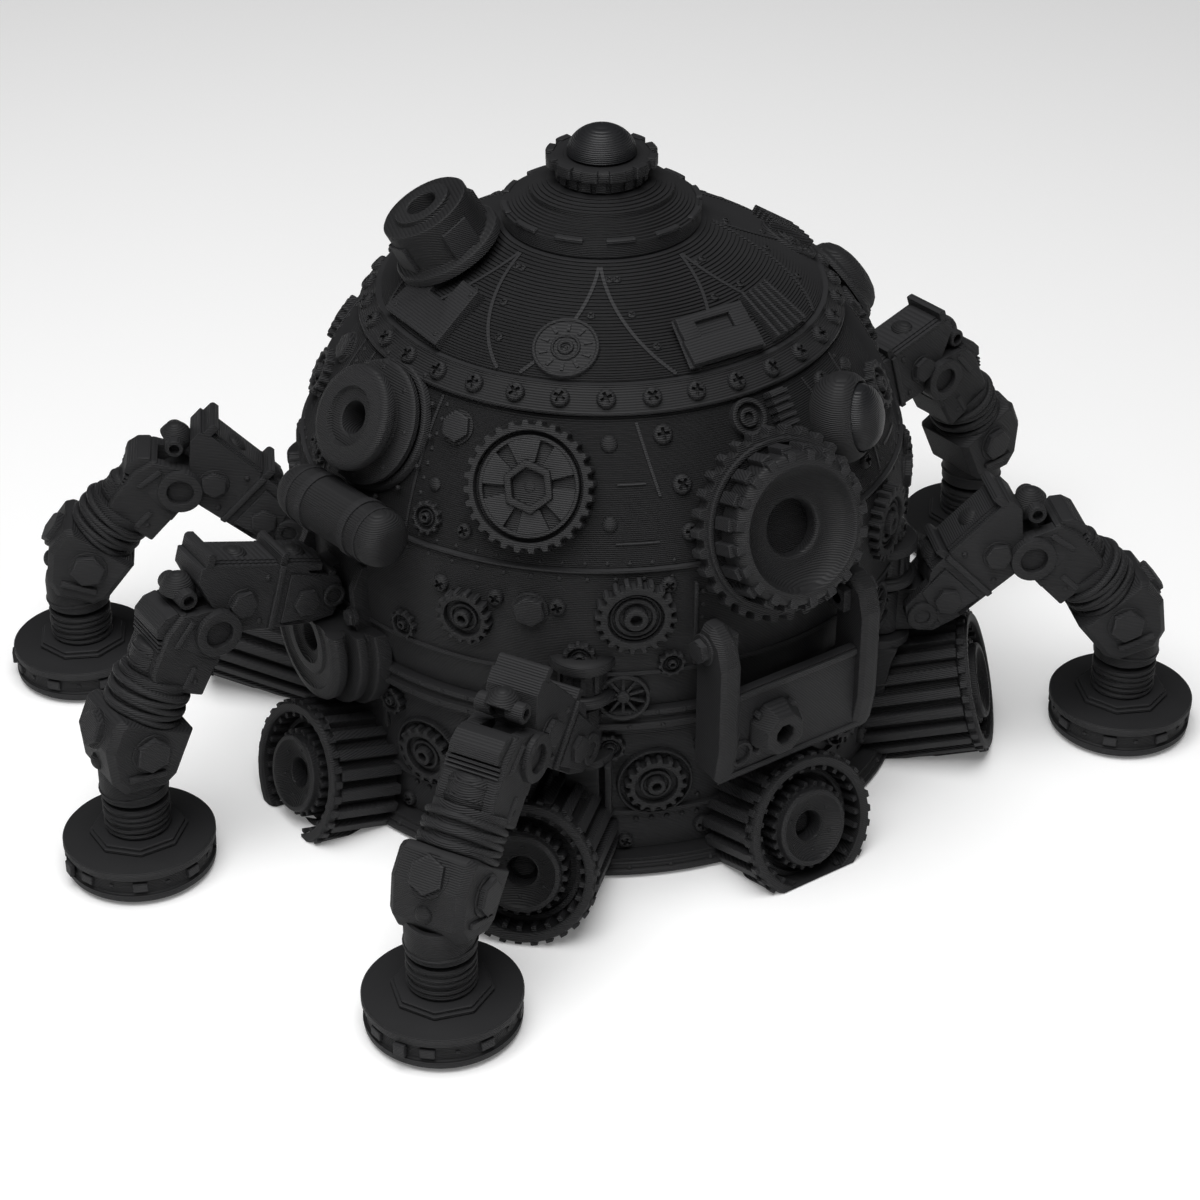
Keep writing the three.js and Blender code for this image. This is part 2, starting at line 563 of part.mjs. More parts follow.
function tibia(leg, pose) {
  const bodySlope = pose.tibiaSlope - TIBIA_OFFSET * DEGREE;
  const upper = slab([
    [4, -5.5], [24, -3.5], [24, 21], [-3, 21], [-9, 15], [-6.5, 3], [-3, -3],
  ], LINK_HALF + 1.5);
  const barrel = moved(turned(drum(8.5, 24), 0, 90, 0), -2, 0, TIBIA_CENTRE + 7.5);
  const waist = moved(turned(drum(13.6, 11), 0, 90, 0), 23.5, 0, TIBIA_CENTRE);
  const lower = slab([[34, -3.5], [50, -3.5], [55, -1], [60, 12], [57, 18], [46, 24], [34, 24]], LOWER_HALF);
  const eye = pin(KNUCKLE, LINK_HALF + 1.5);
  const slot = slab([[0, 9], [-30, 30], [-30, -40], [0, -8.6], [9, -8.6], [8.6, 0], [6, 7]], FORK_HALF);
  const kneeRoom = pin(KNUCKLE + 0.6, FORK_HALF).add(slot);
  const kneeHole = pin(PIN_HOLE, LINK_HALF + 3);
  const casing = alongLink(joined([upper, eye, barrel, waist, lower]), bodySlope, pose.knee);
  const room = alongLink(kneeRoom.add(kneeHole), bodySlope, pose.knee);
  const sleeve = moved(drum(SLEEVE_RADIUS, 12, 12), pose.footOut, 0, SLEEVE_BOTTOM);
  const sleeveRoom = moved(drum(SLEEVE_RADIUS - 2, 12, 12), pose.footOut, 0, SLEEVE_BOTTOM - 2);
  const pinHole = moved(pin(PIN_HOLE, 20), pose.footOut, 0, ANKLE_HEIGHT);
  const underside = blockBetween([pose.footOut - 40, -20, 0], [pose.footOut + 40, 20, SLEEVE_BOTTOM]);
  return cut(joined([casing, sleeve]), [room, sleeveRoom, pinHole, underside]);
}

function foot(pose) {
  const disc = lathe([
    [0, 0], [23.4, 0], [FOOT_RADIUS, 1.4], [FOOT_RADIUS, FOOT_HEIGHT], [0, FOOT_HEIGHT],
  ], 20);
  const nut = moved(turned(drum(16, 2.5, 8), 0, 0, 22.5), 0, 0, FOOT_HEIGHT - 0.1);
  const shaft = moved(drum(SHAFT_RADIUS, SHAFT_TOP - FOOT_HEIGHT), 0, 0, FOOT_HEIGHT);
  const post = moved(drum(5, ANKLE_HEIGHT + 2 - SHAFT_TOP, PIN_ROUND), 0, 0, SHAFT_TOP - 0.2);
  const anklePin = moved(pin(PIN - 0.4, 8.4), 0, 0, ANKLE_HEIGHT);
  return moved(joined([disc, nut, shaft, post, anklePin]), pose.footOut, 0, 0);
}

function addLeg(leg) {
  const pose = legPose(leg);
  const group = new THREE.Group();
  group.position.set(pose.hipX, pose.hipY, 0);
  group.rotation.z = pose.heading;
  addPiece(`${leg.name}_coxa`, coxa(leg), graphite(), group);
  addPiece(`${leg.name}_femur`, femur(leg, pose), charcoal(), group);
  addPiece(`${leg.name}_tibia`, tibia(leg, pose), charcoal(), group);
  addPiece(`${leg.name}_foot`, foot(pose), charcoal(), group);
  robot.add(group);
}

// ---- inside -------------------------------------------------------------------------------------

const batteryPack = () => moved(block(80, 46, 34), 0, 10, BELLY_HEIGHT + GAP + 17);
const controlBoard = () => moved(block(96, 68, 2), 0, 0, 74);
const servoFrame = () => cut(moved(drum(88, 3, ROUND), 0, 0, 62), [moved(drum(30, 8), 0, 0, 60)]);

// ---- assembly -----------------------------------------------------------------------------------

addPiece('belly_plate', bellyPlate(), charcoal());
addPiece('lower_hull', lowerHull(), charcoal());
addPiece('gear_deck_shell', gearDeck(), charcoal());
addPiece('dome_shell', domeShell(), charcoal());
addPiece('screw_band', screwBand(), charcoal());
addPiece('dome_cap', domeCap(), charcoal());
addPiece('top_collar', topCollar(), charcoal());
addPiece('cupola_ring', cupolaRing(), graphite());
addPiece('cupola_lens', cupolaLens(), smokedLens());
addPiece('fan_ring', fanRing(), charcoal());
addPiece('fan_rotor', fanRotor(), graphite());
addPiece('upper_port', upperPort(), charcoal());
addPiece('side_tank', sideTank(), charcoal());
addPiece('headlamp_housing', headlampHousing(), charcoal());
addPiece('headlamp_lens', headlampLens(), smokedLens());
addPiece('sensor_dome', sensorDome(), charcoal());
addPiece('top_nozzle', nozzle(), charcoal());
addPiece('front_hatch', frontHatch(), charcoal());
highLegs.forEach((leg) => addPiece(`${leg.name}_hip_boss`, hipBoss(leg), charcoal()));
addPiece('front_sprocket', frontSprocket(), charcoal());
addPiece('front_wheel', frontWheel(), graphite());
addPiece('front_scoop', frontScoop(), charcoal());
addPiece('battery_pack', batteryPack(), cellBlue());
addPiece('control_board', controlBoard(), boardGreen());
addPiece('servo_frame', servoFrame(), graphite());
drumPlaces().forEach((place, index) => addPiece(`drum_hub_${index + 1}`, drumHub(place), graphite()));
LEGS.forEach(addLeg);

export default robot;
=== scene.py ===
"""Hexapod spider robot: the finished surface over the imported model, with its camera and studio."""
import json
import math

import bmesh
import bpy
from mathutils import Matrix, Vector


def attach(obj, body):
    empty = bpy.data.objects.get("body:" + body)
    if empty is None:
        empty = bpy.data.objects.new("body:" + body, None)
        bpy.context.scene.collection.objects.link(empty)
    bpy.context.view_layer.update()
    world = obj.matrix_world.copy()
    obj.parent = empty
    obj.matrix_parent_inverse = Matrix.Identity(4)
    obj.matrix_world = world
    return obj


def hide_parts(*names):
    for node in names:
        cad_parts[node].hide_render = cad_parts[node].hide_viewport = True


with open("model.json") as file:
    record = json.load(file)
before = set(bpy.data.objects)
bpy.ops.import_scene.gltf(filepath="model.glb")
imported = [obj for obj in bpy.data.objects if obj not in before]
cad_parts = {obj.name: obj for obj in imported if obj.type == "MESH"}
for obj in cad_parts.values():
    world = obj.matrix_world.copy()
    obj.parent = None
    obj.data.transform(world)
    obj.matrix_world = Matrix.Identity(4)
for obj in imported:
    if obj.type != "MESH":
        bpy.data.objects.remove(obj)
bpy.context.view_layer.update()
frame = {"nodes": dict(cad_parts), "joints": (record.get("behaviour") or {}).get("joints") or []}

# ---- sizes, in millimetres -------------------------------------------------------------------

MM = 0.001
BODY_RADIUS = 103.5  # sphere that the shells follow
BODY_CENTRE = 90.0  # its height
LAYER = 0.6  # height of one printed layer
SHELL_SIDES = 128
BEVEL = 0.3  # rounding of machined edges
DRUM_RING_X = -2.5
DRUM_TILT = 15.0
SHORT_DRUM = (123.3, 17.8, 27.0)  # distance, height and length
LONG_DRUM = (136.0, 24.0, 42.0)
FEMUR_OFFSET = 15.7
TIBIA_OFFSET = 4.0
KNEE = (40.43, -11.37)  # the knee pin from the hip pin, along and above the femur's own axis
ANKLE_HEIGHT = 33.5
SCREW_COUNT = 34

LEG_NAMES = ("front_left", "middle_left", "rear_left", "rear_right", "middle_right", "front_right")

# Fittings on the dome: azimuth from +X and elevation from the body sphere's centre, in degrees.
FAN = (-138.7, 27.6)
UPPER_PORT = (-176.5, 30.0)
WHEEL = (-92.3, 17.8)
SENSOR_DOME = (-9.0, 31.5)
NOZZLE = (160.0, 61.5)
FRONT_HATCH = (-92.0, 51.6)

scene = bpy.context.scene
joints = {joint["name"]: joint for joint in frame["joints"]}


# ---- making meshes ---------------------------------------------------------------------------

class Piece:
    """One piece being made. Shapes go in as millimetres and are gathered into one mesh."""

    def __init__(self, name, body, material, *nodes):
        self.name = name
        self.body = body
        self.material = material
        self.nodes = nodes
        self.sharp = bmesh.new()  # shapes whose edges get a bevel
        self.plain = bmesh.new()  # shapes that keep the edges they are given

    def add(self, points, faces, at, bevelled=True):
        mesh = self.sharp if bevelled else self.plain
        corners = [mesh.verts.new(at @ Vector(point)) for point in points]
        for face in faces:
            mesh.faces.new([corners[index] for index in face])

    def finish(self, cut=None):
        """Bevels, joins and smooths what was gathered, and makes the Blender object.

        cut is a height and a side, 1 or -1: what lies on that side of the height is cut away.
        """
        for mesh in (self.sharp, self.plain):
            bmesh.ops.recalc_face_normals(mesh, faces=mesh.faces)
        edges = [edge for edge in self.sharp.edges if edge.calc_face_angle(0) > math.radians(28)]
        bmesh.ops.bevel(self.sharp, geom=edges, offset=BEVEL, segments=1, affect="EDGES",
                        clamp_overlap=True)
        holder = bpy.data.meshes.new(self.name)
        self.sharp.to_mesh(holder)
        self.plain.from_mesh(holder)
        if cut:
            height, away = cut
            geometry = self.plain.verts[:] + self.plain.edges[:] + self.plain.faces[:]
            made = bmesh.ops.bisect_plane(self.plain, geom=geometry, plane_co=(0, 0, height),
                                          plane_no=(0, 0, away), clear_outer=True)["geom_cut"]
            edges = [item for item in made if isinstance(item, bmesh.types.BMEdge)]
            bmesh.ops.triangle_fill(self.plain, edges=edges, use_beauty=True)
        bmesh.ops.scale(self.plain, vec=(MM, MM, MM), verts=self.plain.verts)
        for edge in self.plain.edges:
            edge.smooth = edge.calc_face_angle(0) < math.radians(50)
        for face in self.plain.faces:
            face.smooth = True
        self.plain.to_mesh(holder)
        self.sharp.free()
        self.plain.free()
        piece = bpy.data.objects.new(self.name, holder)
        scene.collection.objects.link(piece)
        piece.data.materials.append(self.material)
        weighted = piece.modifiers.new("weighted_normals", "WEIGHTED_NORMAL")
        weighted.keep_sharp = True
        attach(piece, self.body)
        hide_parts(*self.nodes)
        return piece


def move(x=0.0, y=0.0, z=0.0):
    return Matrix.Translation((x, y, z))


def turn(degrees, axis):
    return Matrix.Rotation(math.radians(degrees), 4, axis)


FACING_X = turn(90, "Y")  # local +Z looks along +X
FACING_FRONT = turn(90, "X")  # local +Z looks along -Y


def lathe(piece, profile, at=Matrix(), sides=32, bevelled=False, closed=True):
    """A profile of (radius, height) turned about local +Z."""
    points = []
    rings = []
    for radius, height in profile:
        if radius < 1e-6:
            rings.append([len(points)] * sides)
            points.append((0, 0, height))
            continue
        rings.append(list(range(len(points), len(points) + sides)))
        for side in range(sides):
            angle = 2 * math.pi * side / sides
            points.append((radius * math.cos(angle), radius * math.sin(angle), height))
    faces = []
    pairs = list(zip(rings, rings[1:]))
    if closed:
        pairs.append((rings[-1], rings[0]))
    for low, high in pairs:
        for side in range(sides):
            after = (side + 1) % sides
            corners = []
            for corner in (low[side], low[after], high[after], high[side]):
                if corner not in corners:
                    corners.append(corner)
            if len(corners) > 2:
                faces.append(corners)
    piece.add(points, faces, at, bevelled)


def prism(piece, outline, low, high, at=Matrix(), bevelled=True, top=1.0):
    """An outline in local X and Y, pushed from low to high. top scales it at the high end."""
    count = len(outline)
    middle = (sum(x for x, _ in outline) / count, sum(y for _, y in outline) / count)
    points = [(x, y, low) for x, y in outline]
    for x, y in outline:
        points.append((middle[0] + (x - middle[0]) * top, middle[1] + (y - middle[1]) * top, high))
    faces = [list(range(count))[::-1], list(range(count, 2 * count))]
    for corner in range(count):
        after = (corner + 1) % count
        faces.append([corner, after, count + after, count + corner])
    piece.add(points, faces, at, bevelled)


def block(piece, low, high, at=Matrix(), bevelled=True):
    outline = [(low[0], low[1]), (high[0], low[1]), (high[0], high[1]), (low[0], high[1])]
    prism(piece, outline, low[2], high[2], at, bevelled)


def polygon(radius, sides, start=0.0):
    angles = [math.radians(start) + 2 * math.pi * side / sides for side in range(sides)]
    return [(radius * math.cos(angle), radius * math.sin(angle)) for angle in angles]


def drum(piece, radius, low, high, at=Matrix(), sides=32, chamfer=0.35):
    """A drum with a small chamfer on its top edge."""
    lathe(piece, [(0, low), (radius, low), (radius, high - chamfer), (radius - chamfer, high),
                  (0, high)], at, sides, closed=False)


def ring(piece, outer, inner, low, high, at=Matrix(), sides=32):
    lathe(piece, [(inner, low), (outer, low), (outer, high - 0.3), (outer - 0.3, high),
                  (inner + 0.3, high), (inner, high - 0.3)], at, sides)


def hoop(piece, radius, thickness, at=Matrix(), sides=40, squeeze=1.0):
    """A round bead of wire bent in a circle about local +Z."""
    profile = [(radius + thickness * math.cos(angle), thickness * math.sin(angle))
               for angle in (math.tau * step / 8 for step in range(8))]
    lathe(piece, profile, at @ Matrix.Diagonal((1, squeeze, 1, 1)), sides)


def ball(piece, radius, at=Matrix(), flat=1.0, sides=24):
    """The upper half of a ball, flattened by flat, on a short drum that sinks into its seat."""
    steps = 8
    profile = [(0, -1.5), (radius, -1.5)]
    for step in range(steps):
        angle = math.pi / 2 * step / steps
        profile.append((radius * math.cos(angle), radius * flat * math.sin(angle)))
    lathe(piece, profile + [(0, radius * flat)], at, sides, closed=False)


def toothed(tip, root, teeth, start=0.0):
    """The outline of a gear with straight-sided teeth."""
    outline = []
    for tooth in range(teeth):
        for radius, part in ((root, 0.0), (root, 0.4), (tip, 0.52), (tip, 0.88)):
            angle = math.radians(start) + math.tau * (tooth + part) / teeth
            outline.append((radius * math.cos(angle), radius * math.sin(angle)))
    return outline


def toothed_ring(piece, tip, root, inner, teeth, low, high, at=Matrix()):
    """A gear rim that is open in the middle."""
    outline = toothed(tip, root, teeth)
    count = len(outline)
    angles = [math.atan2(y, x) for x, y in outline]
    hole = [(inner * math.cos(angle), inner * math.sin(angle)) for angle in angles]
    points = [(x, y, z) for z in (low, high) for x, y in outline]
    points += [(x, y, z) for z in (low, high) for x, y in hole]
    faces = []
    for corner in range(count):
        after = (corner + 1) % count
        outer_low, outer_high, inner_low, inner_high = [
            (loop * count + corner, loop * count + after) for loop in range(4)]
        faces.append([*outer_low, outer_high[1], outer_high[0]])
        faces.append([*inner_low, inner_high[1], inner_high[0]])
        faces.append([*outer_high, inner_high[1], inner_high[0]])
        faces.append([*outer_low, inner_low[1], inner_low[0]])
    piece.add(points, faces, at, True)


# ---- small fasteners -------------------------------------------------------------------------

def hex_bolt(piece, flats, height, at=Matrix(), spin=0.0):
    """A hexagon head with its chamfered top, on a washer."""
    corner = flats / math.sqrt(3)
    drum(piece, corner * 1.12, -1.0, 0.5, at, 24, 0.2)
    prism(piece, polygon(corner, 6, spin), 0.4, height - 0.5, at, False)
    prism(piece, polygon(corner, 6, spin), height - 0.5, height, at, False, top=0.86)


def cross_screw(piece, radius, height, at=Matrix(), spin=0.0):
    """A pan head with a cross recess sunk in it."""
    arm, slot, deep = radius * 0.62, radius * 0.17, height * 0.75
    cross = []
    for quarter in range(4):
        angle = math.radians(spin + 90 * quarter)
        for along, across in ((arm, -slot), (arm, slot), (slot, slot)):
            cross.append((along * math.cos(angle) - across * math.sin(angle),
                          along * math.sin(angle) + across * math.cos(angle)))
    count = len(cross)
    angles = [math.radians(spin - 10) + math.tau * corner / count for corner in range(count)]
    levels = ((radius, -1.0), (radius, height * 0.45), (radius * 0.86, height * 0.85),
              (radius * 0.7, height))
    points = [(reach * math.cos(angle), reach * math.sin(angle), z)
              for reach, z in levels for angle in angles]
    points += [(x, y, height) for x, y in cross] + [(x, y, height - deep) for x, y in cross]
    faces = []
    for level in range(5):
        for corner in range(count):
            after = (corner + 1) % count
            low, high = level * count, (level + 1) * count
            faces.append([low + corner, low + after, high + after, high + corner])
    faces.append([5 * count + corner for corner in range(count)])
    piece.add(points, faces, at, False)


def rivet(piece, radius, at=Matrix()):
    lathe(piece, [(radius, -0.6), (radius, 0.15), (radius * 0.72, radius * 0.5), (0, radius * 0.66)],
          at, 10, closed=False)


def cog(piece, radius, teeth, at=Matrix(), height=2.4):
    """A small gear wheel lying on the shell: toothed rim, dished web, raised hub and bore."""
    toothed_ring(piece, radius, radius * 0.86, radius * 0.68, teeth, -1.0, height, at)
    drum(piece, radius * 0.7, -1.0, height * 0.4, at, 28)
    ring(piece, radius * 0.52, radius * 0.4, 0, height * 0.75, at, 24)
    ring(piece, radius * 0.3, radius * 0.14, 0, height * 1.25, at, 20)


# ---- placing ---------------------------------------------------------------------------------

def on_ball(azimuth, elevation, lift=0.0):
    """A place on the body sphere: local +Z looks outwards and local -X looks up the dome."""
    return (move(z=BODY_CENTRE) @ turn(azimuth, "Z") @ turn(90 - elevation, "Y")
            @ move(z=BODY_RADIUS + lift))


def on_wall(azimuth, height, radius):
    """A place on an upright wall: local +Z looks outwards and local -X looks up."""
    return turn(azimuth, "Z") @ move(radius, 0, height) @ FACING_X


def ball_radius(height):
    return math.sqrt(BODY_RADIUS ** 2 - (height - BODY_CENTRE) ** 2)


def elevation_at(height):
    return math.degrees(math.asin((height - BODY_CENTRE) / BODY_RADIUS))


def layered(outside, bottom, top, wall):
    """A shell profile whose outside climbs in printed layers. outside gives a radius per height."""
    profile = []
    count = round((top - bottom) / LAYER)
    for layer in range(count):
        low = bottom + (top - bottom) * layer / count
        high = bottom + (top - bottom) * (layer + 1) / count
        radius = outside((low + high) / 2)
        profile += [(radius, low), (radius, high)]
    profile += [(outside(top) - wall, top), (outside(bottom) - wall, bottom)]
    return profile


def strip(piece, places, width, rise):
    """A thin raised line through places on a surface, each with local +Z looking outwards."""
    points = []
    for index, place in enumerate(places):
        before = places[max(index - 1, 0)].translation
        after = places[min(index + 1, len(places) - 1)].translation
        outwards = place.to_3x3() @ Vector((0, 0, 1))
        across = (after - before).cross(outwards).normalized() * width / 2
        for side, height in ((-1, -0.8), (-1, rise), (1, rise), (1, -0.8)):
            points.append(place.translation + across * side + outwards * height)
    faces = []
    for index in range(len(places) - 1):
        start = 4 * index
        for corner in range(4):
            after = (corner + 1) % 4
            faces.append([start + corner, start + after, start + 4 + after, start + 4 + corner])
    last = len(points) - 4
    faces += [[0, 1, 2, 3], [last, last + 1, last + 2, last + 3]]
    piece.add(points, faces, Matrix(), False)


def four_ways(azimuth):
    """An azimuth with its copies mirrored to the robot's left and back."""
    return (azimuth, -180 - azimuth, -azimuth, 180 + azimuth)


# ---- materials -------------------------------------------------------------------------------

def printed_plastic(name, dark, light, roughness, layer_depth):
    """Matte printed plastic: fine level layers, a fine grain, faint tone changes and worn edges."""
    material = bpy.data.materials.new(name)
    material.use_nodes = True
    nodes = material.node_tree.nodes
    links = material.node_tree.links
    shader = nodes["Principled BSDF"]
    shader.inputs["Metallic"].default_value = 0.0
    shader.inputs["Specular IOR Level"].default_value = 0.3

    place = nodes.new("ShaderNodeTexCoord")
    split = nodes.new("ShaderNodeSeparateXYZ")
    links.new(place.outputs["Object"], split.inputs[0])
    layers = nodes.new("ShaderNodeMath")
    layers.operation = "MULTIPLY"
    layers.inputs[1].default_value = math.pi / (LAYER * MM)
    links.new(split.outputs["Z"], layers.inputs[0])
    wave = nodes.new("ShaderNodeMath")
    wave.operation = "SINE"
    links.new(layers.outputs[0], wave.inputs[0])
    sharpened = nodes.new("ShaderNodeMath")
    sharpened.operation = "ABSOLUTE"
    links.new(wave.outputs[0], sharpened.inputs[0])

    grain = nodes.new("ShaderNodeTexNoise")
    grain.inputs["Scale"].default_value = 1400.0
    grain.inputs["Detail"].default_value = 3.0
    links.new(place.outputs["Object"], grain.inputs["Vector"])
    patches = nodes.new("ShaderNodeTexNoise")
    patches.inputs["Scale"].default_value = 38.0
    patches.inputs["Detail"].default_value = 4.0
    links.new(place.outputs["Object"], patches.inputs["Vector"])

    layer_bump = nodes.new("ShaderNodeBump")
    layer_bump.inputs["Strength"].default_value = 1.0
    layer_bump.inputs["Distance"].default_value = layer_depth * MM
    links.new(sharpened.outputs[0], layer_bump.inputs["Height"])
    grain_bump = nodes.new("ShaderNodeBump")
    grain_bump.inputs["Strength"].default_value = 0.5
    grain_bump.inputs["Distance"].default_value = 0.05 * MM
    links.new(grain.outputs["Fac"], grain_bump.inputs["Height"])
    links.new(layer_bump.outputs["Normal"], grain_bump.inputs["Normal"])
    links.new(grain_bump.outputs["Normal"], shader.inputs["Normal"])

    tone = nodes.new("ShaderNodeMix")
    tone.data_type = "RGBA"
    tone.inputs["A"].default_value = (*dark, 1)
    tone.inputs["B"].default_value = (*light, 1)
    links.new(patches.outputs["Fac"], tone.inputs["Factor"])
    edges = nodes.new("ShaderNodeNewGeometry")
    worn = nodes.new("ShaderNodeMapRange")
    worn.inputs["From Min"].default_value = 0.52
    worn.inputs["From Max"].default_value = 0.62
    worn.inputs["To Max"].default_value = 0.35
    links.new(edges.outputs["Pointiness"], worn.inputs["Value"])
    edged = nodes.new("ShaderNodeMix")
    edged.data_type = "RGBA"
    edged.inputs["B"].default_value = (*[channel * 2.2 for channel in light], 1)
    links.new(worn.outputs["Result"], edged.inputs["Factor"])
    links.new(tone.outputs["Result"], edged.inputs["A"])
    links.new(edged.outputs["Result"], shader.inputs["Base Color"])

    sheen = nodes.new("ShaderNodeMapRange")
    sheen.inputs["To Min"].default_value = roughness - 0.07
    sheen.inputs["To Max"].default_value = roughness + 0.09
    links.new(patches.outputs["Fac"], sheen.inputs["Value"])
    links.new(sheen.outputs["Result"], shader.inputs["Roughness"])
    return material


def sealed_colour(name, dark, light, roughness, scale):
    """A smooth coloured surface with a faint mottle: solder mask or battery wrap."""
    material = bpy.data.materials.new(name)
    material.use_nodes = True
    nodes = material.node_tree.nodes
    links = material.node_tree.links
    shader = nodes["Principled BSDF"]
    shader.inputs["Roughness"].default_value = roughness
    place = nodes.new("ShaderNodeTexCoord")
    mottle = nodes.new("ShaderNodeTexNoise")
    mottle.inputs["Scale"].default_value = scale
    links.new(place.outputs["Object"], mottle.inputs["Vector"])
    tone = nodes.new("ShaderNodeMix")
    tone.data_type = "RGBA"
    tone.inputs["A"].default_value = (*dark, 1)
    tone.inputs["B"].default_value = (*light, 1)
    links.new(mottle.outputs["Fac"], tone.inputs["Factor"])
    links.new(tone.outputs["Result"], shader.inputs["Base Color"])
    return material


CHARCOAL = printed_plastic("printed_charcoal", (0.0085, 0.0085, 0.0092), (0.0145, 0.0145, 0.0155),
                           0.62, 0.18)
GRAPHITE = printed_plastic("printed_graphite", (0.0072, 0.0072, 0.0078), (0.0125, 0.0125, 0.0135),
                           0.56, 0.16)
LENS = printed_plastic("printed_lens", (0.008, 0.008, 0.009), (0.0125, 0.013, 0.0145), 0.42, 0.14)
CELL_BLUE = sealed_colour("battery_wrap", (0.02, 0.06, 0.15), (0.03, 0.09, 0.2), 0.35, 60.0)
BOARD_GREEN = sealed_colour("circuit_board", (0.01, 0.07, 0.03), (0.02, 0.1, 0.045), 0.45, 300.0)


# ---- hull ------------------------------------------------------------------------------------

def belly_plate():
    piece = Piece("belly_ring", "body", CHARCOAL, "belly_plate")
    lathe(piece, [(0, 0), (104, 0), (106.6, 1.0), (106.6, 2.4), (105.6, 2.8), (105.6, 3.8),
                  (104.2, 4.4), (104.2, 6.0), (0, 6.0)], sides=SHELL_SIDES, closed=False)
    for index in range(48):
        rivet(piece, 1.0, on_wall(index * 7.5, 3.3, 105.4))
    piece.finish()


def drum_place(index):
    distance, height, length = SHORT_DRUM if index % 2 == 0 else LONG_DRUM
    at = (move(DRUM_RING_X) @ turn(index * 45, "Z") @ move(distance, 0, height)
          @ turn(90 - DRUM_TILT, "Y"))
    return at, length


def geared_drum(piece, index):
    """A drum with square cleats along it, a stepped lip and an open face round its hub pin."""
    at, length = drum_place(index)
    lathe(piece, [(0, -length), (21.6, -length), (21.9, -4.5), (23.6, -3.4), (24, -2.6), (24, -1.0),
                  (23.4, 0), (21.4, 0), (20.6, -0.6), (20.4, -9), (3.3, -9), (3.3, -7.0), (0, -7.0)],
          at, 72, closed=False)
    lathe(piece, [(18.6, -9.2), (18.6, -6.4), (17.6, -6.0), (16.8, -6.4), (16.8, -9.2)], at, 48)
    for cleat in range(22):
        spin = at @ turn(cleat * 360 / 22, "Z")
        block(piece, (21.0, -1.75, -length), (24.6, 1.75, -3.6), spin)
    for tooth in range(26):
        spin = at @ turn(tooth * 360 / 26, "Z")
        block(piece, (18.9, -0.8, -8.6), (20.9, 0.8, -1.6), spin, False)
    for tooth in range(30):
        spin = at @ turn(tooth * 12, "Z")
        block(piece, (23.2, -1.1, -3.2), (25.0, 1.1, -0.9), spin, False)


def hub(index):
    piece = Piece(f"hub_gear_{index + 1}", f"hub_{index + 1}", GRAPHITE, f"drum_hub_{index + 1}")
    at, _ = drum_place(index)
    toothed_ring(piece, 15.0, 13.4, 10, 24, -7.6, -1.6, at)
    lathe(piece, [(4.9, -7.6), (13.2, -7.6), (13.2, 0.2), (12.6, 0.9), (11.4, 0.9), (10.9, 0.2),
                  (9.6, -0.6), (7.4, -1.8), (5.9, -2.2), (5.3, -2.0), (4.9, -2.6)], at, 40)
    for bolt in range(6):
        rivet(piece, 0.7, at @ turn(bolt * 60, "Z") @ move(8.6, 0, -1.3))
    piece.finish()


def lower_hull():
    piece = Piece("hull", "body", CHARCOAL, "lower_hull")
    wall = layered(lambda z: 98.6 if z < 52 else 99.2, 6.3, 55, 3)
    lathe(piece, wall, sides=SHELL_SIDES)
    lathe(piece, [(96, 55), (100.5, 55), (103, 56.4), (103, 58.4), (101.6, 59.0), (101.6, 60.7),
                  (96, 60.7)], sides=SHELL_SIDES)
    lathe(piece, [(98, 20.4), (100.0, 20.7), (100.0, 22.2), (98, 22.5)], sides=SHELL_SIDES)
    for index in range(8):
        geared_drum(piece, index)
    for sector in range(8):
        middle = sector * 45 + 22.5
        cog(piece, 10.3, 16, on_wall(middle - 2.5, 33, 99.2), 3.2)
        ring(piece, 12.6, 11.6, -1, 1.2, on_wall(middle - 2.5, 33, 99.2), 40)
        cog(piece, 6.2, 12, on_wall(middle + 8.5, 45.5, 99.2))
        cog(piece, 5.2, 10, on_wall(middle - 11, 48, 99.2))
        cross_screw(piece, 3.2, 1.8, on_wall(middle + 7, 13, 98.8), sector * 17)
        cross_screw(piece, 2.6, 1.6, on_wall(middle - 8, 9.8, 98.8), sector * 31)
        for side in (-1, 1):
            block(piece, (-9, -1.1, -1), (9, 1.1, 1.4), on_wall(middle + side * 13.5, 44, 98.8))
        for step in range(5):
            rivet(piece, 0.9, on_wall(middle - 6 + step * 3, 24.8, 98.8))
            rivet(piece, 0.9, on_wall(middle - 6 + step * 3, 18.0, 98.8))
    for index in range(60):
        rivet(piece, 0.8, on_wall(index * 6, 57.4, 102.9))
    for name in LEG_NAMES:
        if "middle" not in name:
            hip_seat(piece, name, 102.0)
    piece.finish(cut=(0.02, -1))


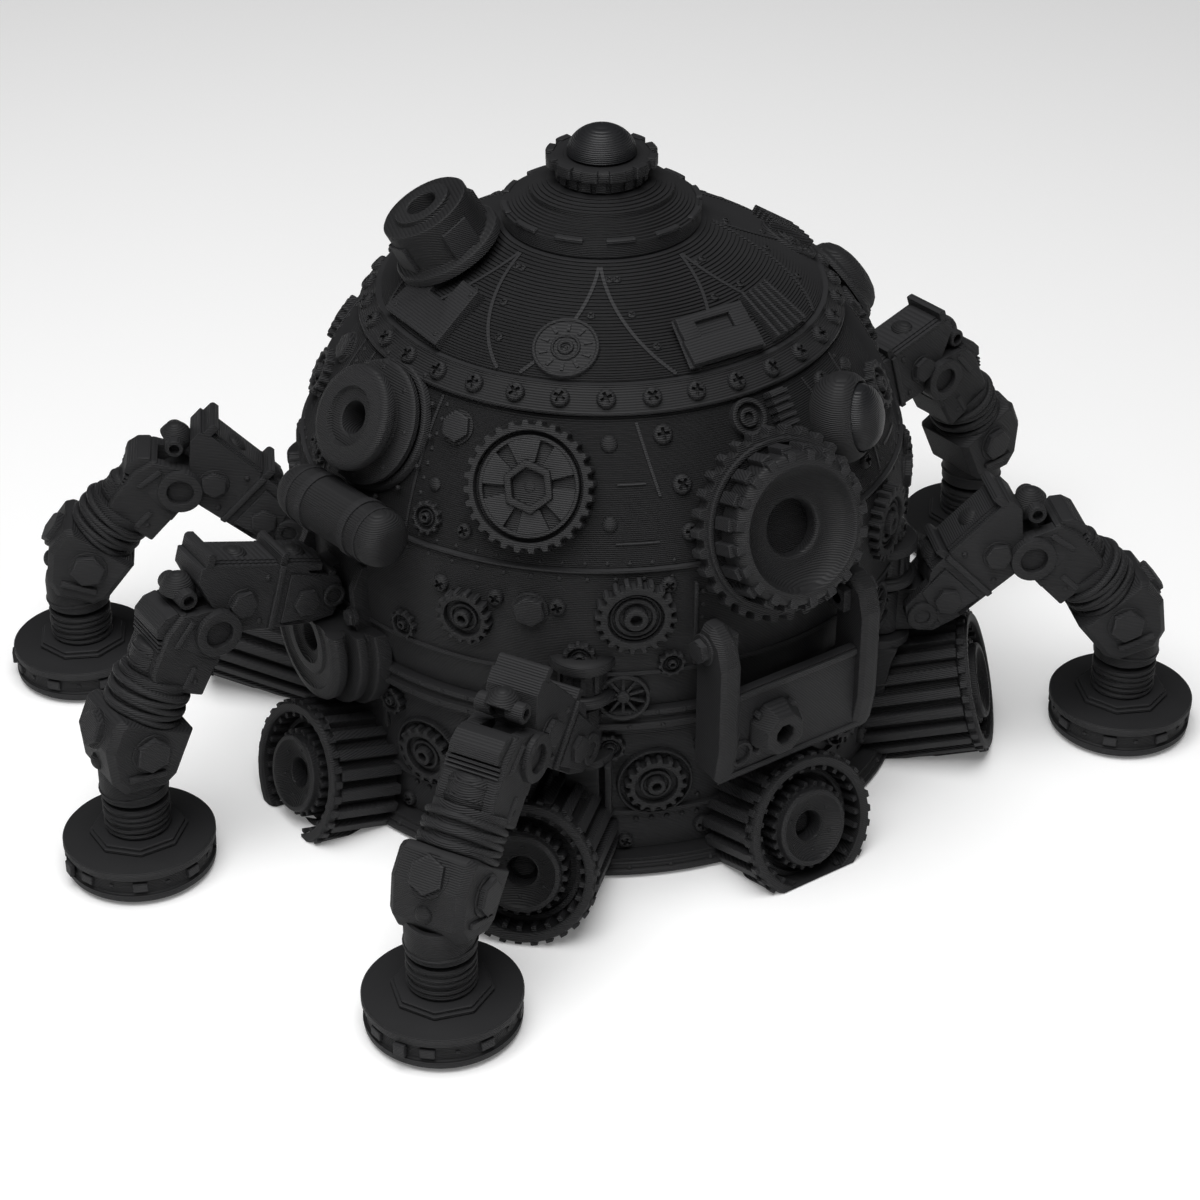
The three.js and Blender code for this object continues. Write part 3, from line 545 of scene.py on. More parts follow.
def hip_seat(piece, name, reach):
    """The bracket under a hip: a shelf with a round eye, ribs beneath it and a bolted foot."""
    yaw = Vector(joints[f"{name}_hip_yaw"]["pos_m"]) / MM
    shelf = joints[f"{name}_hip_lift"]["pos_m"][2] / MM - 8.9
    azimuth = math.degrees(math.atan2(yaw.y, yaw.x))
    out = math.hypot(yaw.x, yaw.y)
    at = turn(azimuth, "Z") @ move(out, 0, 0)
    drum(piece, 10, shelf - 3, shelf, at, 36)
    block(piece, (93 - out, -10, shelf - 3), (0, 10, shelf), at)
    column = [(93 - out, shelf - 24), (reach - out + 1.5, shelf - 24), (6, shelf - 9), (8, shelf - 3),
              (93 - out, shelf - 3)]
    sideways = at @ turn(90, "X")
    prism(piece, column, -5.5, 5.5, sideways)
    for side in (-1, 1):
        prism(piece, column, side * 8.4 - 1.1, side * 8.4 + 1.1, sideways)
    hex_bolt(piece, 6.4, 2.6, at @ move(reach - out + 2.6, 0, shelf - 18) @ FACING_X)


# ---- gear deck -------------------------------------------------------------------------------

def gear_deck():
    piece = Piece("deck", "body", CHARCOAL, "gear_deck_shell")
    lathe(piece, layered(ball_radius, 61, 113.7, 3.4), sides=SHELL_SIDES)
    lathe(piece, [(100, 61), (102.8, 61.4), (102.8, 63.2), (100, 63.6)], sides=SHELL_SIDES)
    lathe(piece, [(100, 77.0), (103.4, 77.3), (103.4, 78.8), (100, 79.1)], sides=SHELL_SIDES)
    for azimuth in four_ways(-149.4):
        cog(piece, 9.4, 16, on_wall(azimuth, 94.6, 103.2), 3.0)
    for azimuth in four_ways(-119.2):
        cog(piece, 13.0, 20, on_wall(azimuth, 99.6, 102.4), 3.4)
        ring(piece, 8.2, 7.4, 0, 2.4, on_wall(azimuth, 99.6, 102.4), 36)
        half_fan(piece, on_wall(azimuth - 2, 69, 101.4))
    for azimuth in four_ways(-137.5):
        hex_bolt(piece, 9.2, 2.8, on_wall(azimuth, 100.5, 102.8), 12)
    for azimuth in four_ways(-128.8):
        cog(piece, 5.5, 11, on_wall(azimuth, 85, 103.2))
        cog(piece, 4.6, 10, on_wall(azimuth + 16, 81.5, 103.0))
        cross_screw(piece, 2.8, 1.8, on_wall(azimuth - 3.9, 102.4, 102.6), 20)
        cross_screw(piece, 2.8, 1.8, on_wall(azimuth + 15.6, 109, 101.4), 40)
    for azimuth in four_ways(-154.4):
        cross_screw(piece, 2.8, 1.8, on_wall(azimuth, 103.4, 102.5), 35)
        cross_screw(piece, 2.8, 1.8, on_wall(azimuth + 10.6, 103.0, 102.5), 60)
        cog(piece, 5.0, 10, on_wall(azimuth - 8, 84, 103.0))
    for index in range(72):
        rivet(piece, 0.85, on_wall(index * 5, 62.3, 102.6))
        rivet(piece, 0.85, on_wall(index * 5 + 2.5, 111.6, 101.1))
    for azimuth in (-108.5, -71.5, -37.5, -12, 12, 37.5, 62, 90, 118, 142.5, 168):
        block(piece, (-15, -0.7, -1), (15, 0.7, 0.9), on_wall(azimuth, 94.5, 103.2))
        for step in range(6):
            rivet(piece, 0.75, on_wall(azimuth + 1.4, 82.5 + step * 4.6, 103.1))
    for side in (-1, 1):
        block(piece, (-1.5, -4, -4), (1.5, 12.5, 4), move(-4.5 + side * 22.6, -107, 91))
    for name in ("middle_left", "middle_right"):
        hip_seat(piece, name, 103.0)
        hip_frame(piece, name)
    piece.finish()


def half_fan(piece, at):
    """A spoked half wheel sunk in a raised rim."""
    ring(piece, 8.6, 7.2, -1, 2.4, at, 36)
    drum(piece, 2.2, -1, 2.2, at, 20)
    for spoke in range(10):
        block(piece, (2, -0.45, -0.6), (7.4, 0.45, 1.4), at @ turn(spoke * 36, "Z"), False)


def hip_frame(piece, name):
    """Plates on both sides of a hip that join it to the deck."""
    yaw = Vector(joints[f"{name}_hip_yaw"]["pos_m"]) / MM
    azimuth = math.degrees(math.atan2(yaw.y, yaw.x))
    for side in (-1, 1):
        cheek = [(-4, -14), (3, -15), (4, 4), (0, 12), (-4, 12)]
        at = turn(azimuth, "Z") @ move(103, side * 17.5, 86) @ turn(90, "X")
        prism(piece, cheek, -1.6, 1.6, at)
        hex_bolt(piece, 5.2, 2.0, turn(azimuth, "Z") @ move(107, side * 17.5, 80) @ FACING_X)


# ---- dome ------------------------------------------------------------------------------------

def dome_shell():
    piece = Piece("dome_wall", "body", CHARCOAL, "dome_shell")
    lathe(piece, layered(ball_radius, 114, 157.4, 3.6), sides=SHELL_SIDES)
    lathe(piece, [(98, 114), (101.7, 114), (101.7, 114.9), (98, 115.6)], sides=SHELL_SIDES)
    for azimuth in four_ways(-156.8):
        hex_bolt(piece, 8.6, 2.4, on_ball(azimuth, 35.0), 15)
        ball(piece, 2.2, on_ball(azimuth - 1.6, 24.4), 0.6)
        cross_screw(piece, 2.6, 1.6, on_ball(azimuth + 6.2, 18.0, -0.1), 30)
    for azimuth in four_ways(-123.5):
        ball(piece, 2.7, on_ball(azimuth, 35.5), 0.6)
        ball(piece, 2.4, on_ball(azimuth, 21.8), 0.6)
        strip(piece, [on_ball(azimuth + 1.5 + step * 1.4, 28.6) for step in range(5)], 0.8, 0.4)
        strip(piece, [on_ball(azimuth + 1.0 + step * 1.6, 18.4) for step in range(6)], 0.8, 0.4)
    for azimuth in four_ways(-112):
        cross_screw(piece, 3.2, 1.8, on_ball(azimuth, 36.6, -0.1), 5)
        cross_screw(piece, 3.2, 1.8, on_ball(azimuth + 2.6, 27.8, -0.1), 50)
        cross_screw(piece, 2.8, 1.7, on_ball(azimuth + 3.2, 19.5, -0.1), 75)
        places = [on_ball(azimuth - 5.5 + step * 0.45, 39 - step * 1.6) for step in range(9)]
        strip(piece, places, 0.9, 0.45)
    for azimuth in four_ways(-163):
        seam(piece, azimuth, 15.5, 39.5)
        cog(piece, 5.4, 11, on_ball(azimuth + 4.5, 18.5, -0.3))
    for azimuth in (-60, -30, 8, 30, 60, 88, 115, 140, 170):
        seam(piece, azimuth, 15.5, 39.5)
        cog(piece, 8.4, 14, on_ball(azimuth + 12, 27, -0.4), 3.0)
    for azimuth in (-92.2, 87.8, 20):
        ring(piece, 6.2, 4.6, -1, 2.4, on_ball(azimuth, 36.4), 32)
        ring(piece, 3.2, 1.6, -1, 1.8, on_ball(azimuth, 36.4), 24)
        drum(piece, 5.4, -1, 0.4, on_ball(azimuth, 36.4), 28)
    ribbed_bar(piece, on_ball(-84, 34.5))
    ribbed_bar(piece, on_ball(100, 33))
    bezel(piece, on_ball(*UPPER_PORT), 21.5)
    for index in range(90):
        rivet(piece, 0.7, on_ball(index * 4, elevation_at(116.6), 0))
    piece.finish()


def bezel(piece, at, radius):
    """A low raised ring round a fitting, with rivets."""
    lathe(piece, [(radius - 2.4, -1.6), (radius, -1.6), (radius - 0.2, 0.2), (radius - 0.8, 0.8),
                  (radius - 2.0, 0.8), (radius - 2.4, 0.2)], at, 56)
    for step in range(14):
        rivet(piece, 0.8, at @ turn(step * 360 / 14, "Z") @ move(radius + 1.6, 0, -0.5))


def seam(piece, azimuth, low, high):
    """A raised joint strip that runs up the dome, with a row of rivets beside it."""
    steps = 12
    places = [on_ball(azimuth, low + (high - low) * step / steps) for step in range(steps + 1)]
    strip(piece, places, 0.9, 0.45)
    rivets = 9
    for index in range(rivets):
        at = on_ball(azimuth + 1.7, low + (high - low) * (index + 0.5) / rivets, 0)
        rivet(piece, 0.75, at)


def ribbed_bar(piece, at):
    block(piece, (-9, -3, -2), (9, 3, 3.4), at)
    for rib in range(7):
        block(piece, (-8.4 + rib * 2.6, -3.5, 0), (-7.2 + rib * 2.6, 3.5, 4.2), at, False)


def screw_band():
    piece = Piece("screw_belt", "body", CHARCOAL, "screw_band")
    lathe(piece, [(75, 157.7), (80.3, 157.7), (80.3, 158.6), (79.5, 159.2), (74.5, 164.2),
                  (74.4, 165.2), (69, 165.2)], sides=SHELL_SIDES)
    slope = math.degrees(math.atan2(164.2 - 159.2, 79.5 - 74.5))
    for index in range(SCREW_COUNT):
        azimuth = -124 + index * 360 / SCREW_COUNT
        at = turn(azimuth, "Z") @ move(77.1, 0, 161.8) @ turn(90 - slope, "Y")
        cross_screw(piece, 3.1, 1.7, at, 25 + index * 23)
    piece.finish()


def cap_radius(height):
    """Radius of the dome cap, from the belt up to the collar."""
    part = min(1.0, max(0.0, (height - 165.5) / 22.2))
    return 72.6 - 39.3 * part ** 1.35


def on_cap(azimuth, height, lift=0.0):
    """A place on the dome cap: local +Z looks outwards and local -X looks up the cap."""
    rise = 0.5
    fall = (cap_radius(height + rise) - cap_radius(height - rise)) / (2 * rise)
    tilt = math.degrees(math.atan2(1.0, -fall))
    return (turn(azimuth, "Z") @ move(cap_radius(height), 0, height) @ turn(tilt, "Y")
            @ move(z=lift))


def dome_cap():
    piece = Piece("cap", "body", CHARCOAL, "dome_cap")
    lathe(piece, layered(cap_radius, 165.5, 187.7, 4.0), sides=SHELL_SIDES)
    for azimuth in (-135, -20, 60, 110):
        motif(piece, on_cap(azimuth, 172.5, -0.4))
    for middle in (-126, -81, -36, 9, 54, 99, 144, -171):
        for side in (-1, 1):
            panel_line(piece, middle, side)
    side_hatch(piece)
    fins(piece, -12)
    fins(piece, -70)
    piece.finish()


def panel_line(piece, middle, side):
    """One leg of an inverted V of joint strip with screws, from the collar down to the belt."""
    def place(part, shift=0.0):
        return on_cap(middle + side * (0.5 + 19.0 * part ** 1.2 + shift), 186.6 - 20.4 * part)

    steps = 14
    strip(piece, [place(step / steps) for step in range(steps + 1)], 1.1, 0.5)
    for part, shift in ((0.1, 6.0), (0.4, 4.2), (0.7, 3.4)):
        cross_screw(piece, 1.4, 0.7, place(part, side * shift), 360 * part)


def motif(piece, at):
    """A low round vent: a disc with two grooved rings, short slats and a small boss."""
    drum(piece, 10.6, -2, 0.7, at, 56, 0.3)
    ring(piece, 10.6, 9.4, 0.4, 1.2, at, 56)
    ring(piece, 4.7, 3.7, 0.4, 1.3, at, 36)
    ring(piece, 2.6, 1.4, 0.4, 1.5, at, 28)
    for step in range(10):
        block(piece, (5.8, -0.5, 0.4), (8.4, 0.5, 1.15), at @ turn(step * 36, "Z"), False)


def side_hatch(piece):
    """A raised cover on the right of the dome, with a square notch in its lower edge."""
    at = on_ball(178, 53, 0.4)
    outline = [(-11, -14), (-11, -4.5), (-2, -4.5), (-2, 4.5), (-11, 4.5), (-11, 14), (11, 16),
               (11, -16)]
    prism(piece, outline, -4, 2.6, at)
    for y in (-12.5, 12.5):
        for x in (-8.5, 8.0):
            rivet(piece, 0.9, at @ move(x, y, 2.5))


def fins(piece, azimuth):
    """A row of cooling fins standing on the cap."""
    for index in range(5):
        at = on_cap(azimuth + index * 3.0 - 6, 172, 0)
        block(piece, (-9, -0.7, -1), (9, 0.7, 3.0), at)


# ---- collar and cupola -----------------------------------------------------------------------

def arc_block(piece, inner, outer, middle, span, low, high):
    """A block bent round the body's axis."""
    steps = 6
    angles = [math.radians(middle - span / 2 + span * step / steps) for step in range(steps + 1)]
    outline = [(outer * math.cos(angle), outer * math.sin(angle)) for angle in angles]
    outline += [(inner * math.cos(angle), inner * math.sin(angle)) for angle in reversed(angles)]
    prism(piece, outline, low, high)


def top_collar():
    piece = Piece("collar", "body", CHARCOAL, "top_collar")
    profile = [(0, 188), (32.0, 188), (32.4, 188.6), (32.4, 193.4)]
    for step in range(7):
        radius = 31.4 - step * 1.15
        profile += [(radius, 193.4 + step * 0.6), (radius, 194.0 + step * 0.6)]
    profile += [(23.5, 197.6), (23.5, 199.6)]
    for step in range(4):
        radius = 22.4 - step * 1.5
        profile += [(radius, 199.6 + step * 0.6), (radius, 200.2 + step * 0.6)]
    profile += [(15.8, 202), (5.6, 202), (5.6, 195), (0, 195)]
    lathe(piece, profile, sides=96, closed=False)
    for index in range(12):
        arc_block(piece, 30.6, 32.8, index * 30 + 6, 17, 193.0, 194.6)
    piece.finish()


def cupola():
    piece = Piece("cupola_crown", "cupola", GRAPHITE, "cupola_ring")
    drum(piece, 4.9, 195.2, 203, sides=24)
    drum(piece, 14.6, 202.3, 207.2, sides=48)
    for index in range(20):
        block(piece, (14.0, -1.5, 202.8), (15.2, 1.5, 206.8), turn(index * 18, "Z"), False)
    lathe(piece, [(0, 206.8), (16.4, 206.8), (16.8, 207.4), (16.8, 209.8), (16.0, 210.6), (13.2, 210.6),
                  (12.2, 210.0), (0, 210.0)], sides=60, closed=False)
    for index in range(12):
        arc_block(piece, 15.4, 18.2, index * 30 + 12, 18, 207.2, 211.0)
    piece.finish()
    lens = Piece("cupola_eye", "cupola", LENS, "cupola_lens")
    profile = [(0, 210.8), (11.3, 210.8)]
    steps = 12
    for step in range(1, steps):
        angle = math.pi / 2 * step / steps
        profile.append((11.3 * math.cos(angle), 210.8 + 9.1 * math.sin(angle)))
    lathe(lens, profile + [(0, 219.9)], sides=48, closed=False)
    lens.finish()


# ---- fittings --------------------------------------------------------------------------------

def fan():
    at = on_ball(*FAN, 0.3)
    housing = Piece("fan_housing", "body", CHARCOAL, "fan_ring")
    toothed_ring(housing, 20.6, 19.1, 17.3, 28, -2, 4.2, at)
    lathe(housing, [(2.4, -7.4), (16.1, -7.4), (17.6, -1.2), (17.6, 0.4), (2.4, 0.4)], at, 56)
    housing.finish()
    rotor = Piece("fan_blades", "fan", GRAPHITE, "fan_rotor")
    drum(rotor, 2.0, -7.2, 2.0, at, 20)
    ring(rotor, 16.0, 14.6, 0.8, 3.4, at, 56)
    drum(rotor, 15.2, 0.8, 1.8, at, 56)
    lathe(rotor, [(5.9, 1.6), (8.6, 1.6), (8.6, 4.2), (8.0, 4.6), (6.4, 4.6), (5.9, 4.1)],
          at @ turn(12, "Z"), 6, bevelled=True)
    for index in range(6):
        angles = [math.radians(index * 60 + 12 + step) for step in (-21, -10.5, 0, 10.5, 21)]
        outline = [(7.6 * math.cos(angle), 7.6 * math.sin(angle)) for angle in angles]
        outline += [(14.9 * math.cos(angle), 14.9 * math.sin(angle)) for angle in reversed(angles)]
        prism(rotor, outline, 1.6, 3.5, at)
    rotor.finish()


def upper_port():
    piece = Piece("port", "body", CHARCOAL, "upper_port")
    at = on_ball(*UPPER_PORT, 0.3)
    lathe(piece, [(5.4, -8), (14.6, -8), (14.6, 1.6), (20, 1.8), (20.2, 3.6), (19.2, 4.6), (14.4, 5.6),
                  (13.8, 7.2), (14.2, 8.8), (16.8, 9.4), (17, 11.8), (16.2, 12.8), (14.6, 13.5),
                  (9.8, 13.5), (9.2, 12.2), (6.4, 12.0), (5.4, 11.2)], at, 56)
    for step in range(8):
        rivet(piece, 0.9, at @ turn(step * 45 + 10, "Z") @ move(17.6, 0, 4.7))
    piece.finish()


def capsule(piece, radius, half, at, seams):
    """A level tank with round ends and raised bands."""
    steps = 10
    profile = []
    for step in range(steps + 1):
        angle = math.pi / 2 * step / steps
        bulge = math.cos(angle) ** 0.8
        profile.append((radius * math.sin(angle) ** 0.62, -half - 0.86 * radius * bulge))
    profile += [(r, -z) for r, z in reversed(profile)]
    lathe(piece, profile, at, 48, closed=False)
    for height in seams:
        ring(piece, radius + 0.35, radius - 1, height - 0.7, height + 0.7, at, 48)


def side_tank():
    piece = Piece("tank", "body", CHARCOAL, "side_tank")
    at = turn(-173, "Z") @ move(110.5, 0, 119) @ FACING_FRONT
    capsule(piece, 9.3, 18, at, (-17.5, 17.5))
    for side in (-1, 1):
        block(piece, (-9.6, -2.6, side * 11 - 2.2), (-4, 2.6, side * 11 + 2.2), at)
        ring(piece, 9.9, 9, side * 11 - 1.6, side * 11 + 1.6, at, 40)
    piece.finish()


LAMP_AT = (Matrix.Translation(on_ball(-68.2, 29.2, 104.6 - BODY_RADIUS).translation)
           @ turn(-56, "Z") @ turn(78, "Y"))


def headlamp():
    piece = Piece("lamp_body", "body", CHARCOAL, "headlamp_housing")
    lathe(piece, [(0, -12), (4, -11.8), (8, -10.6), (11.2, -8.2), (13.4, -5), (14.7, -1.4),
                  (14.8, 1.8), (14.0, 4.6), (12.8, 6.2), (11.6, 7.0), (11.2, 6.6), (11.2, 5.2), (0, 5.2)],
          LAMP_AT, 56, closed=False)
    piece.finish()
    lens = Piece("lamp_lens", "body", LENS, "headlamp_lens")
    lathe(lens, [(0, 5.6), (10.8, 5.6), (10.8, 7.4), (10.2, 9.2), (8.9, 10.9), (7.0, 12.2),
                 (4.7, 13.1), (2.3, 13.5), (0, 13.6)], LAMP_AT, 48, closed=False)
    lens.finish()


def sensor_dome():
    piece = Piece("dish", "body", CHARCOAL, "sensor_dome")
    at = on_ball(*SENSOR_DOME, 0.3)
    lathe(piece, [(0, -7), (9.7, -7), (9.7, 1.6), (16.2, 1.6), (16.4, 2.8), (15.8, 3.8), (14.8, 4.2),
                  (14.4, 5.0), (14.0, 6.6), (12.6, 8.6), (10.2, 10.2), (7.2, 11.2), (3.8, 11.7),
                  (0, 11.8)], at, 56, closed=False)
    for step in range(12):
        rivet(piece, 0.7, at @ turn(step * 30, "Z") @ move(15.3, 0, 3.8))
    piece.finish()


def nozzle():
    piece = Piece("nozzle", "body", CHARCOAL, "top_nozzle")
    at = on_ball(*NOZZLE, 0.3)
    lathe(piece, [(5.0, -8), (11.7, -8), (11.7, 1.6), (18.4, 1.8), (18.4, 4.4), (17.8, 5.0), (15.8, 5.2),
                  (15.0, 6.0), (15.0, 18.9), (14.5, 19.4), (9.9, 19.4), (9.6, 19.8), (9.6, 20.8),
                  (9.1, 21.2), (5.6, 21.2), (5.0, 20.6)], at, 56)
    for step in range(4):
        block(piece, (13.0, -5.0, 4.8), (15.5, 5.0, 15.0), at @ turn(step * 90 + 20, "Z"))
    piece.finish()


def front_hatch():
    piece = Piece("hatch", "body", CHARCOAL, "front_hatch")
    at = on_ball(*FRONT_HATCH, 1.6)
    prism(piece, [(-8.5, -13), (8.5, -14.5), (8.5, 14.5), (-8.5, 13)], 0.3, 1.2, at)
    block(piece, (-8.1, -12.4, 1.0), (-5.4, 12.4, 2.9), at)
    block(piece, (-0.4, -13.2, 1.0), (8.1, 13.2, 2.9), at)
    for low, high in ((-12.6, -6.4), (6.4, 12.6)):
        block(piece, (-5.7, low, 1.0), (-0.1, high, 2.9), at)
    piece.finish()


def hip_boss(side, azimuth):
    """The stepped round boss under a middle hip, cut flat on top where the hip stands."""
    piece = Piece(f"{side}_boss", "body", CHARCOAL, f"{side}_hip_boss")
    at = turn(azimuth, "Z") @ move(0, 0, 65.5) @ FACING_X
    lathe(piece, [(4.8, 98), (27, 98), (27, 102.6), (26.2, 103.4), (24.2, 103.8), (23.4, 104.6),
                  (23.4, 105.2), (25.0, 105.8), (25.0, 108.0), (24.2, 108.8), (18.8, 109.4),
                  (18.2, 110.2), (18.2, 111.0), (21.4, 111.4), (22.0, 112.0), (22.0, 114.4),
                  (21.2, 115.4), (19.6, 116.0), (17.8, 116.2), (17.2, 115.4), (13.0, 115.0),
                  (12.2, 115.8), (9.0, 115.8), (8.2, 114.6), (5.4, 114.2), (4.8, 113.6)], at, 72)
    piece.finish(cut=(74.7, 1))


# ---- front wheel and scoop -------------------------------------------------------------------

def drive_wheel():
    at = on_ball(*WHEEL, 0.5)
    sprocket = Piece("sprocket", "drive_wheel", CHARCOAL, "front_sprocket")
    toothed_ring(sprocket, 31, 28.8, 18, 30, 0, 4.8, at)
    ring(sprocket, 27.6, 25.8, 4.4, 6.0, at, 64)
    drum(sprocket, 6, -11, 0.5, at, 28)
    drum(sprocket, 20, 0, 3, at, 40)
    sprocket.finish()
    wheel = Piece("tyre", "drive_wheel", GRAPHITE, "front_wheel")
    lathe(wheel, [(8.8, 6.2), (23.4, 6.2), (24.2, 7.4), (24.2, 14.2), (23.4, 15.6), (21.6, 16.6),
                  (20.2, 16.8), (19.4, 16.0), (18.6, 14.0), (16.4, 12.0), (13.6, 10.9), (11.2, 10.6),
                  (10.2, 10.9), (9.4, 10.4), (8.8, 9.4)], at, 72)
    for index in range(20):
        spin = at @ turn(index * 18, "Z")
        block(wheel, (22.8, -2.0, 6.4), (26.2, 2.0, 14.2), spin)
        block(wheel, (20.6, -1.5, 12.0), (24.8, 1.5, 16.6), spin)
    wheel.finish()


def facet_slab(piece, outline, half, chamfer, at):
    """An outline pushed both ways in local Z, with broad chamfers round both faces."""
    count = len(outline)
    middle = (sum(x for x, _ in outline) / count, sum(y for _, y in outline) / count)
    inset = []
    for x, y in outline:
        reach = math.hypot(x - middle[0], y - middle[1])
        part = (reach - chamfer) / reach
        inset.append((middle[0] + (x - middle[0]) * part, middle[1] + (y - middle[1]) * part))
    levels = ((inset, -half), (outline, chamfer - half), (outline, half - chamfer), (inset, half))
    points = [(x, y, z) for shape, z in levels for x, y in shape]
    faces = [list(range(count)), [3 * count + corner for corner in range(count)]]
    for level in range(3):
        for corner in range(count):
            after = (corner + 1) % count
            low, high = level * count, (level + 1) * count
            faces.append([low + corner, low + after, high + after, high + corner])
    piece.add(points, faces, at)


def scoop():
    """The front blade: a wall between two faceted arms that hang from pins on the deck."""
    piece = Piece("scoop_blade", "scoop", CHARCOAL, "front_scoop")
    facing = turn(90, "X")
    prism(piece, [(-35, 42.5), (25, 42.5), (26.5, 46), (26.5, 71), (24, 75), (-33, 75), (-35, 72)],
          111.2, 114.4, facing)
    block(piece, (-33, 72.2, 114.2), (24, 74.4, 115.2), facing)
    block(piece, (-34, 43.4, 114.2), (24, 45.4, 115.0), facing)
    block(piece, (21.4, 47, 114.2), (24.6, 70.4, 115.6), facing)
    knob_at = move(-14, -114.2, 58.2) @ FACING_FRONT
    lathe(piece, [(3.4, 0.2), (9.8, 0.2), (9.8, 2.0), (7.6, 7.2), (7.0, 7.8), (4.0, 7.8), (3.4, 7.2)],
          knob_at @ turn(22.5, "Z"), 8, bevelled=True)
    for index in range(4):
        block(piece, (7.0, -1.0, 0.4), (10.6, 1.0, 3.0), knob_at @ turn(index * 90 + 45, "Z"))
    lathe(piece, [(3.2, 0.1), (4.6, 0.1), (4.6, 1.0), (4.2, 1.5), (3.5, 1.5), (3.2, 1.2)],
          move(-26.6, -114.3, 52.0) @ FACING_FRONT, 28)
    arm = [(-103.2, 45), (-114.6, 43), (-117, 55), (-117.6, 88), (-114.5, 96), (-109.5, 99.6),
           (-105.2, 99.4), (-103.2, 94)]
    # An outline of y and z, pushed along x.
    upright = Matrix(((0, 0, 1, 0), (1, 0, 0, 0), (0, 1, 0, 0), (0, 0, 0, 1)))
    for side in (-1, 1):
        centre = -4.5 + side * 28.1
        facet_slab(piece, arm, 3.9, 2.0, move(centre) @ upright)
        outside = move(centre + side * 3.7, -107.4, 91) @ turn(90 * side, "Y")
        drum(piece, 5.2, -1, 1.0, outside, 28)
        hex_bolt(piece, 7.0, 3.0, outside @ move(z=0.6), 15)
        inside = move(centre - side * 3.6, -107, 91) @ turn(-90 * side, "Y")
        drum(piece, 2.4, -0.5, 3.4, inside, 16)
    piece.finish()


# ---- legs ------------------------------------------------------------------------------------

def leg_places(name):
    """Matrices of a leg: its plane, femur, tibia and foot, from where its joints are."""
    spots = {part: Vector(joints[f"{name}_{part}"]["pos_m"]) / MM
             for part in ("hip_yaw", "hip_lift", "knee", "ankle")}
    across = spots["ankle"] - spots["hip_yaw"]
    heading = math.degrees(math.atan2(across.y, across.x))
    plane = move(spots["hip_yaw"].x, spots["hip_yaw"].y) @ turn(heading, "Z")
    flat = {part: plane.inverted() @ spot for part, spot in spots.items()}

    def slope(start, end):
        span = flat[end] - flat[start]
        return math.degrees(math.atan2(span.z, span.x))

    def link(start, degrees):
        return plane @ move(flat[start].x, 0, flat[start].z) @ turn(-degrees, "Y")

    return {
        "plane": plane,
        "lift": flat["hip_lift"],
        "ankle": flat["ankle"],
        "femur": link("hip_lift", slope("hip_lift", "knee") + FEMUR_OFFSET),
        "tibia": link("knee", slope("knee", "ankle") - TIBIA_OFFSET),
    }


def side_cut(at, across=0.0):
    """Turns an outline in a link's own along and up directions so that it is pushed sideways."""
    return at @ move(0, across, 0) @ turn(90, "X")


def facing_side(at, along, up, reach, side):
    """A place on a link's flank: local +Z looks sideways, away from the link."""
    return at @ move(along, side * reach, up) @ turn(-90 * side, "X")


def coxa(name, places):
    piece = Piece(f"{name}_hip_block", f"{name}_hip", GRAPHITE, f"{name}_coxa")
    plane = places["plane"]
    lift = places["lift"].z
    out = places["lift"].x
    low = "middle" not in name
    tongue = side_cut(plane @ move(out, 0, lift))
    outline = [(8 * math.cos(math.radians(angle)), 8 * math.sin(math.radians(angle)))
               for angle in range(-90, 91, 15)]
    prism(piece, [*outline, (-out - 5, 8), (-out - 5, -8)], -4.6, 4.6, tongue)
    drum(piece, 6.4, lift - 8, lift + 8, plane, 32)
    drum(piece, 4, lift - 15, lift - 7, plane, 24)
    if low:
        spool = plane @ move(z=lift)
        lathe(piece, [(0, 7.5), (5, 7.5), (5, 10), (10.4, 11.4), (11, 12), (11, 13.6), (10.4, 14.2),
                      (8.2, 15), (8, 16), (8, 22), (8.2, 23), (10.6, 23.8), (11, 24.4), (11, 27),
                      (10.4, 27.7), (6, 28.2), (5.4, 29), (0, 29)], spool, 44, closed=False)
        for step in range(12):
            block(piece, (7.4, -0.8, 16), (8.8, 0.8, 22.4), spool @ turn(step * 30, "Z"), False)
        cross_screw(piece, 3.2, 1.6, plane @ move(z=lift + 28.6), 20)
    piece.finish()


